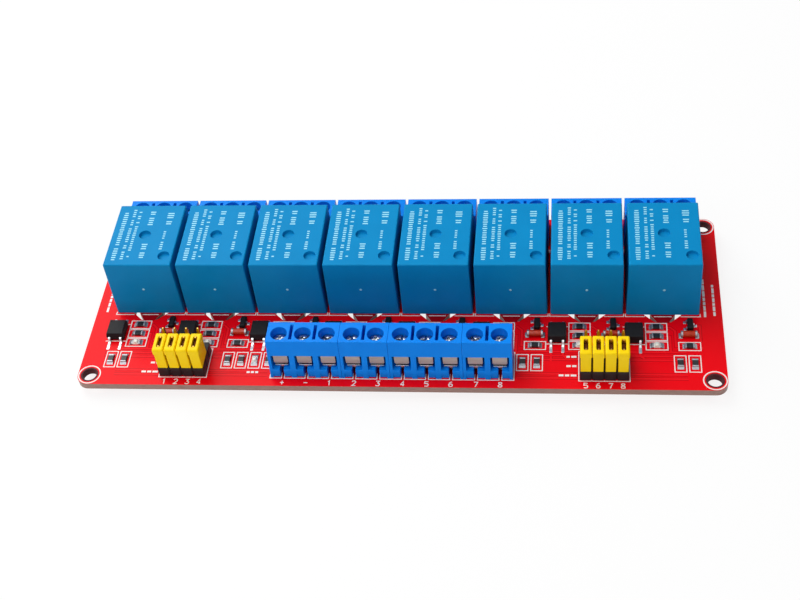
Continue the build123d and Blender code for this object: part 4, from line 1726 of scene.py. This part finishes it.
    def build_joints(self) -> None:
        """Makes the pads and the solder at every pin.

        A joint's radius grows by the square of the way up to its pad.
        """
        base, top, under = self.layout.top - self.sunk, self.layout.top, self.layout.under
        joints = self.joints()
        rim = np.linspace(0, 1, self.solder_steps)
        lower_hole, upper_hole = self.pad_hole
        for half, reach, name in zip(self.pin_halves, self.pad_reach, ("pin_solder", "header_solder")):
            spots = joints[np.isclose(joints[:, 2], half)][:, :2]
            radius = half + self.solder_top + (reach - self.solder_inset) * (1 - rim) ** 2
            cone = lathe(radius[::-1], (under - self.solder_height * rim)[::-1], self.solder_faces)
            pad = ring(half + reach, half * lower_hole, under - self.pad, under, self.pad_faces)
            upper = ring(half + reach - self.upper_inset, half * upper_hole, base, top + self.ink,
                         self.pad_faces)
            places = np.column_stack([spots, np.zeros(len(spots))])
            piece(name, (cone + pad + upper).at(places), TIN)

    def build_underside(self) -> None:
        """Makes the wide output runs under the board, with bare tinned strips along them."""
        lay = self.layout
        runs: list[Line] = []
        bare: list[Line] = []
        for x, (_, high) in zip(lay.channel_x, lay.outputs):
            y = high[1] - self.output_pin_in
            for side in (-1, 1):
                contact, bend = x + side * self.contact_across, y - self.run_bend
                start = (contact, lay.relay_rear - self.contact_in)
                runs.append([start, (contact, bend), (x + side * self.pitch, y)])
                bare.append([start, (contact, bend - self.tinned_short)])
            after, before = self.tinned_common
            runs.append([(x, lay.relay_front + self.common_in), (x, y)])
            bare.append([(x, lay.relay_front + after), (x, y - before)])
        width, drop = self.output_run
        copper = ribbons(runs, width, lay.under - drop, lay.under + self.sunk)
        piece("output_copper", copper, TRACE)
        width, drop = self.tinned_run
        piece("tinned_runs", ribbons(bare, width, lay.under - drop, lay.under), TIN)

    def build(self, parts: SmallParts) -> None:
        """Dresses the board, prints it, and sets the copper, the pads and the solder on it.

        Args:
            parts: the small parts, for their places.
        """
        dress("circuit_board", MASK)
        dress("relay_pins", TIN)
        self.build_print(parts)
        self.build_copper()
        self.build_holes()
        self.build_joints()
        self.build_underside()


class SoftBox(NamedTuple):
    """A square lamp that faces the board's middle; its place and size are in millimetres."""

    name: str
    place: Triple
    size: float
    watts: float


@dataclass
class Studio:
    """The plain white set, its lamps and the camera."""

    eye: Triple = (37.77, -204.78, 226.45)
    right: Triple = (0.9921, 0.087, -0.0908)
    up: Triple = (-0.0027, 0.7365, 0.6764)
    back: Triple = (0.1257, -0.6708, 0.7309)
    lens_mm: float = 61.98
    sensor_mm: float = 36.0
    nearest: float = 0.005
    surround: Point = (0.3, 1.0)
    floor_reach: float = 3.0
    floor_shade: float = 0.92
    floor_roughness: float = 0.9
    floor_glow: float = 0.85

    lamps: ClassVar[tuple[SoftBox, ...]] = (
        SoftBox("overhead", (-150, 60, 620), 400, 1.4),
        SoftBox("left_rear", (-330, 300, 430), 450, 2.1),
        SoftBox("front_fill", (-180, -420, 460), 400, 1.2),
    )

    def camera(self) -> None:
        """Sets the camera where the picture was taken from."""
        data = bpy.data.cameras.new("camera")
        data.sensor_fit = "HORIZONTAL"
        data.sensor_width = self.sensor_mm
        data.lens = self.lens_mm
        data.clip_start = self.nearest
        made = bpy.data.objects.new("camera", data)
        turn = Matrix((self.right, self.up, self.back)).transposed().to_4x4()
        made.matrix_world = Matrix.Translation([v * MM for v in self.eye]) @ turn
        bpy.context.scene.collection.objects.link(made)
        bpy.context.scene.camera = made

    def lamp(self, soft_box: SoftBox) -> None:
        """Sets up one lamp.

        Args:
            soft_box: its name, place, size and power.
        """
        data = bpy.data.lights.new(soft_box.name, "AREA")
        data.size = soft_box.size * MM
        data.energy = soft_box.watts
        made = bpy.data.objects.new(soft_box.name, data)
        shift = Matrix.Translation([v * MM for v in soft_box.place])
        made.matrix_world = shift @ shift.to_translation().to_track_quat("Z", "Y").to_matrix().to_4x4()
        bpy.context.scene.collection.objects.link(made)

    def in_view(self, tree: bpy.types.NodeTree) -> bpy.types.NodeSocket:
        """One for rays from the camera, from metal or through glass, and zero for those that light.

        Args:
            tree: the node tree.

        Returns:
            The value's socket.
        """
        rays = add(tree, "ShaderNodeLightPath").outputs
        clear = add(tree, "ShaderNodeMath", {"operation": "MAXIMUM"},
                    {0: rays["Is Camera Ray"], 1: rays["Is Transmission Ray"]}).outputs[0]
        return add(tree, "ShaderNodeMath", {"operation": "MAXIMUM"},
                   {0: clear, 1: rays["Is Glossy Ray"]}).outputs[0]

    def world(self) -> None:
        """A white surround that the eye, metal and glass see in full, and that lights more weakly."""
        world = bpy.data.worlds.new("surround")
        bpy.context.scene.world = world
        world.use_nodes = True
        tree = world.node_tree
        tree.nodes.clear()
        weak, full = self.surround
        strength = add(tree, "ShaderNodeMapRange", {"To Min": weak, "To Max": full},
                       {"Value": self.in_view(tree)}).outputs[0]
        light = add(tree, "ShaderNodeBackground", {"Color": (1, 1, 1, 1)}, {"Strength": strength})
        add(tree, "ShaderNodeOutputWorld", {}, {"Surface": light.outputs[0]})

    def floor(self) -> None:
        """A wide pale floor under the pins."""
        line = np.linspace(-self.floor_reach, self.floor_reach, 3)
        grid = np.stack([*np.meshgrid(line, line), np.zeros((3, 3))], axis=-1)
        mesh = new_mesh("floor", sheet(grid), 1.0)
        finish = bpy.data.materials.new("white_card")
        finish.use_nodes = True
        tree = finish.node_tree
        tree.nodes.clear()
        shade = (self.floor_shade, self.floor_shade, self.floor_shade, 1)
        card = add(tree, "ShaderNodeBsdfPrincipled", {"Base Color": shade, "Roughness": self.floor_roughness})
        glow = add(tree, "ShaderNodeEmission", {"Color": (1, 1, 1, 1), "Strength": 1.0})
        share = add(tree, "ShaderNodeMath", {"operation": "MULTIPLY", 1: self.floor_glow},
                    {0: self.in_view(tree)}).outputs[0]
        mix = add(tree, "ShaderNodeMixShader", {}, {0: share, 1: card.outputs[0], 2: glow.outputs[0]})
        add(tree, "ShaderNodeOutputMaterial", {}, {"Surface": mix.outputs[0]})
        mesh.materials.append(finish)
        made = bpy.data.objects.new("floor", mesh)
        bpy.context.scene.collection.objects.link(made)

    def build(self) -> None:
        """Sets up the surround, the floor, the lamps and the camera."""
        bpy.context.scene.view_settings.view_transform = "Standard"
        self.world()
        self.floor()
        for soft_box in self.lamps:
            self.lamp(soft_box)
        self.camera()


def main() -> None:
    """Builds every sub-assembly and the set."""
    logging.basicConfig(level=logging.INFO, format="%(message)s")
    layout = Layout()
    parts = SmallParts(layout)
    Relays(layout).build()
    Terminals(layout).build()
    Jumpers().build()
    parts.build()
    Board(layout).build(parts)
    Studio().build()


if __name__ == "__main__":
    main()
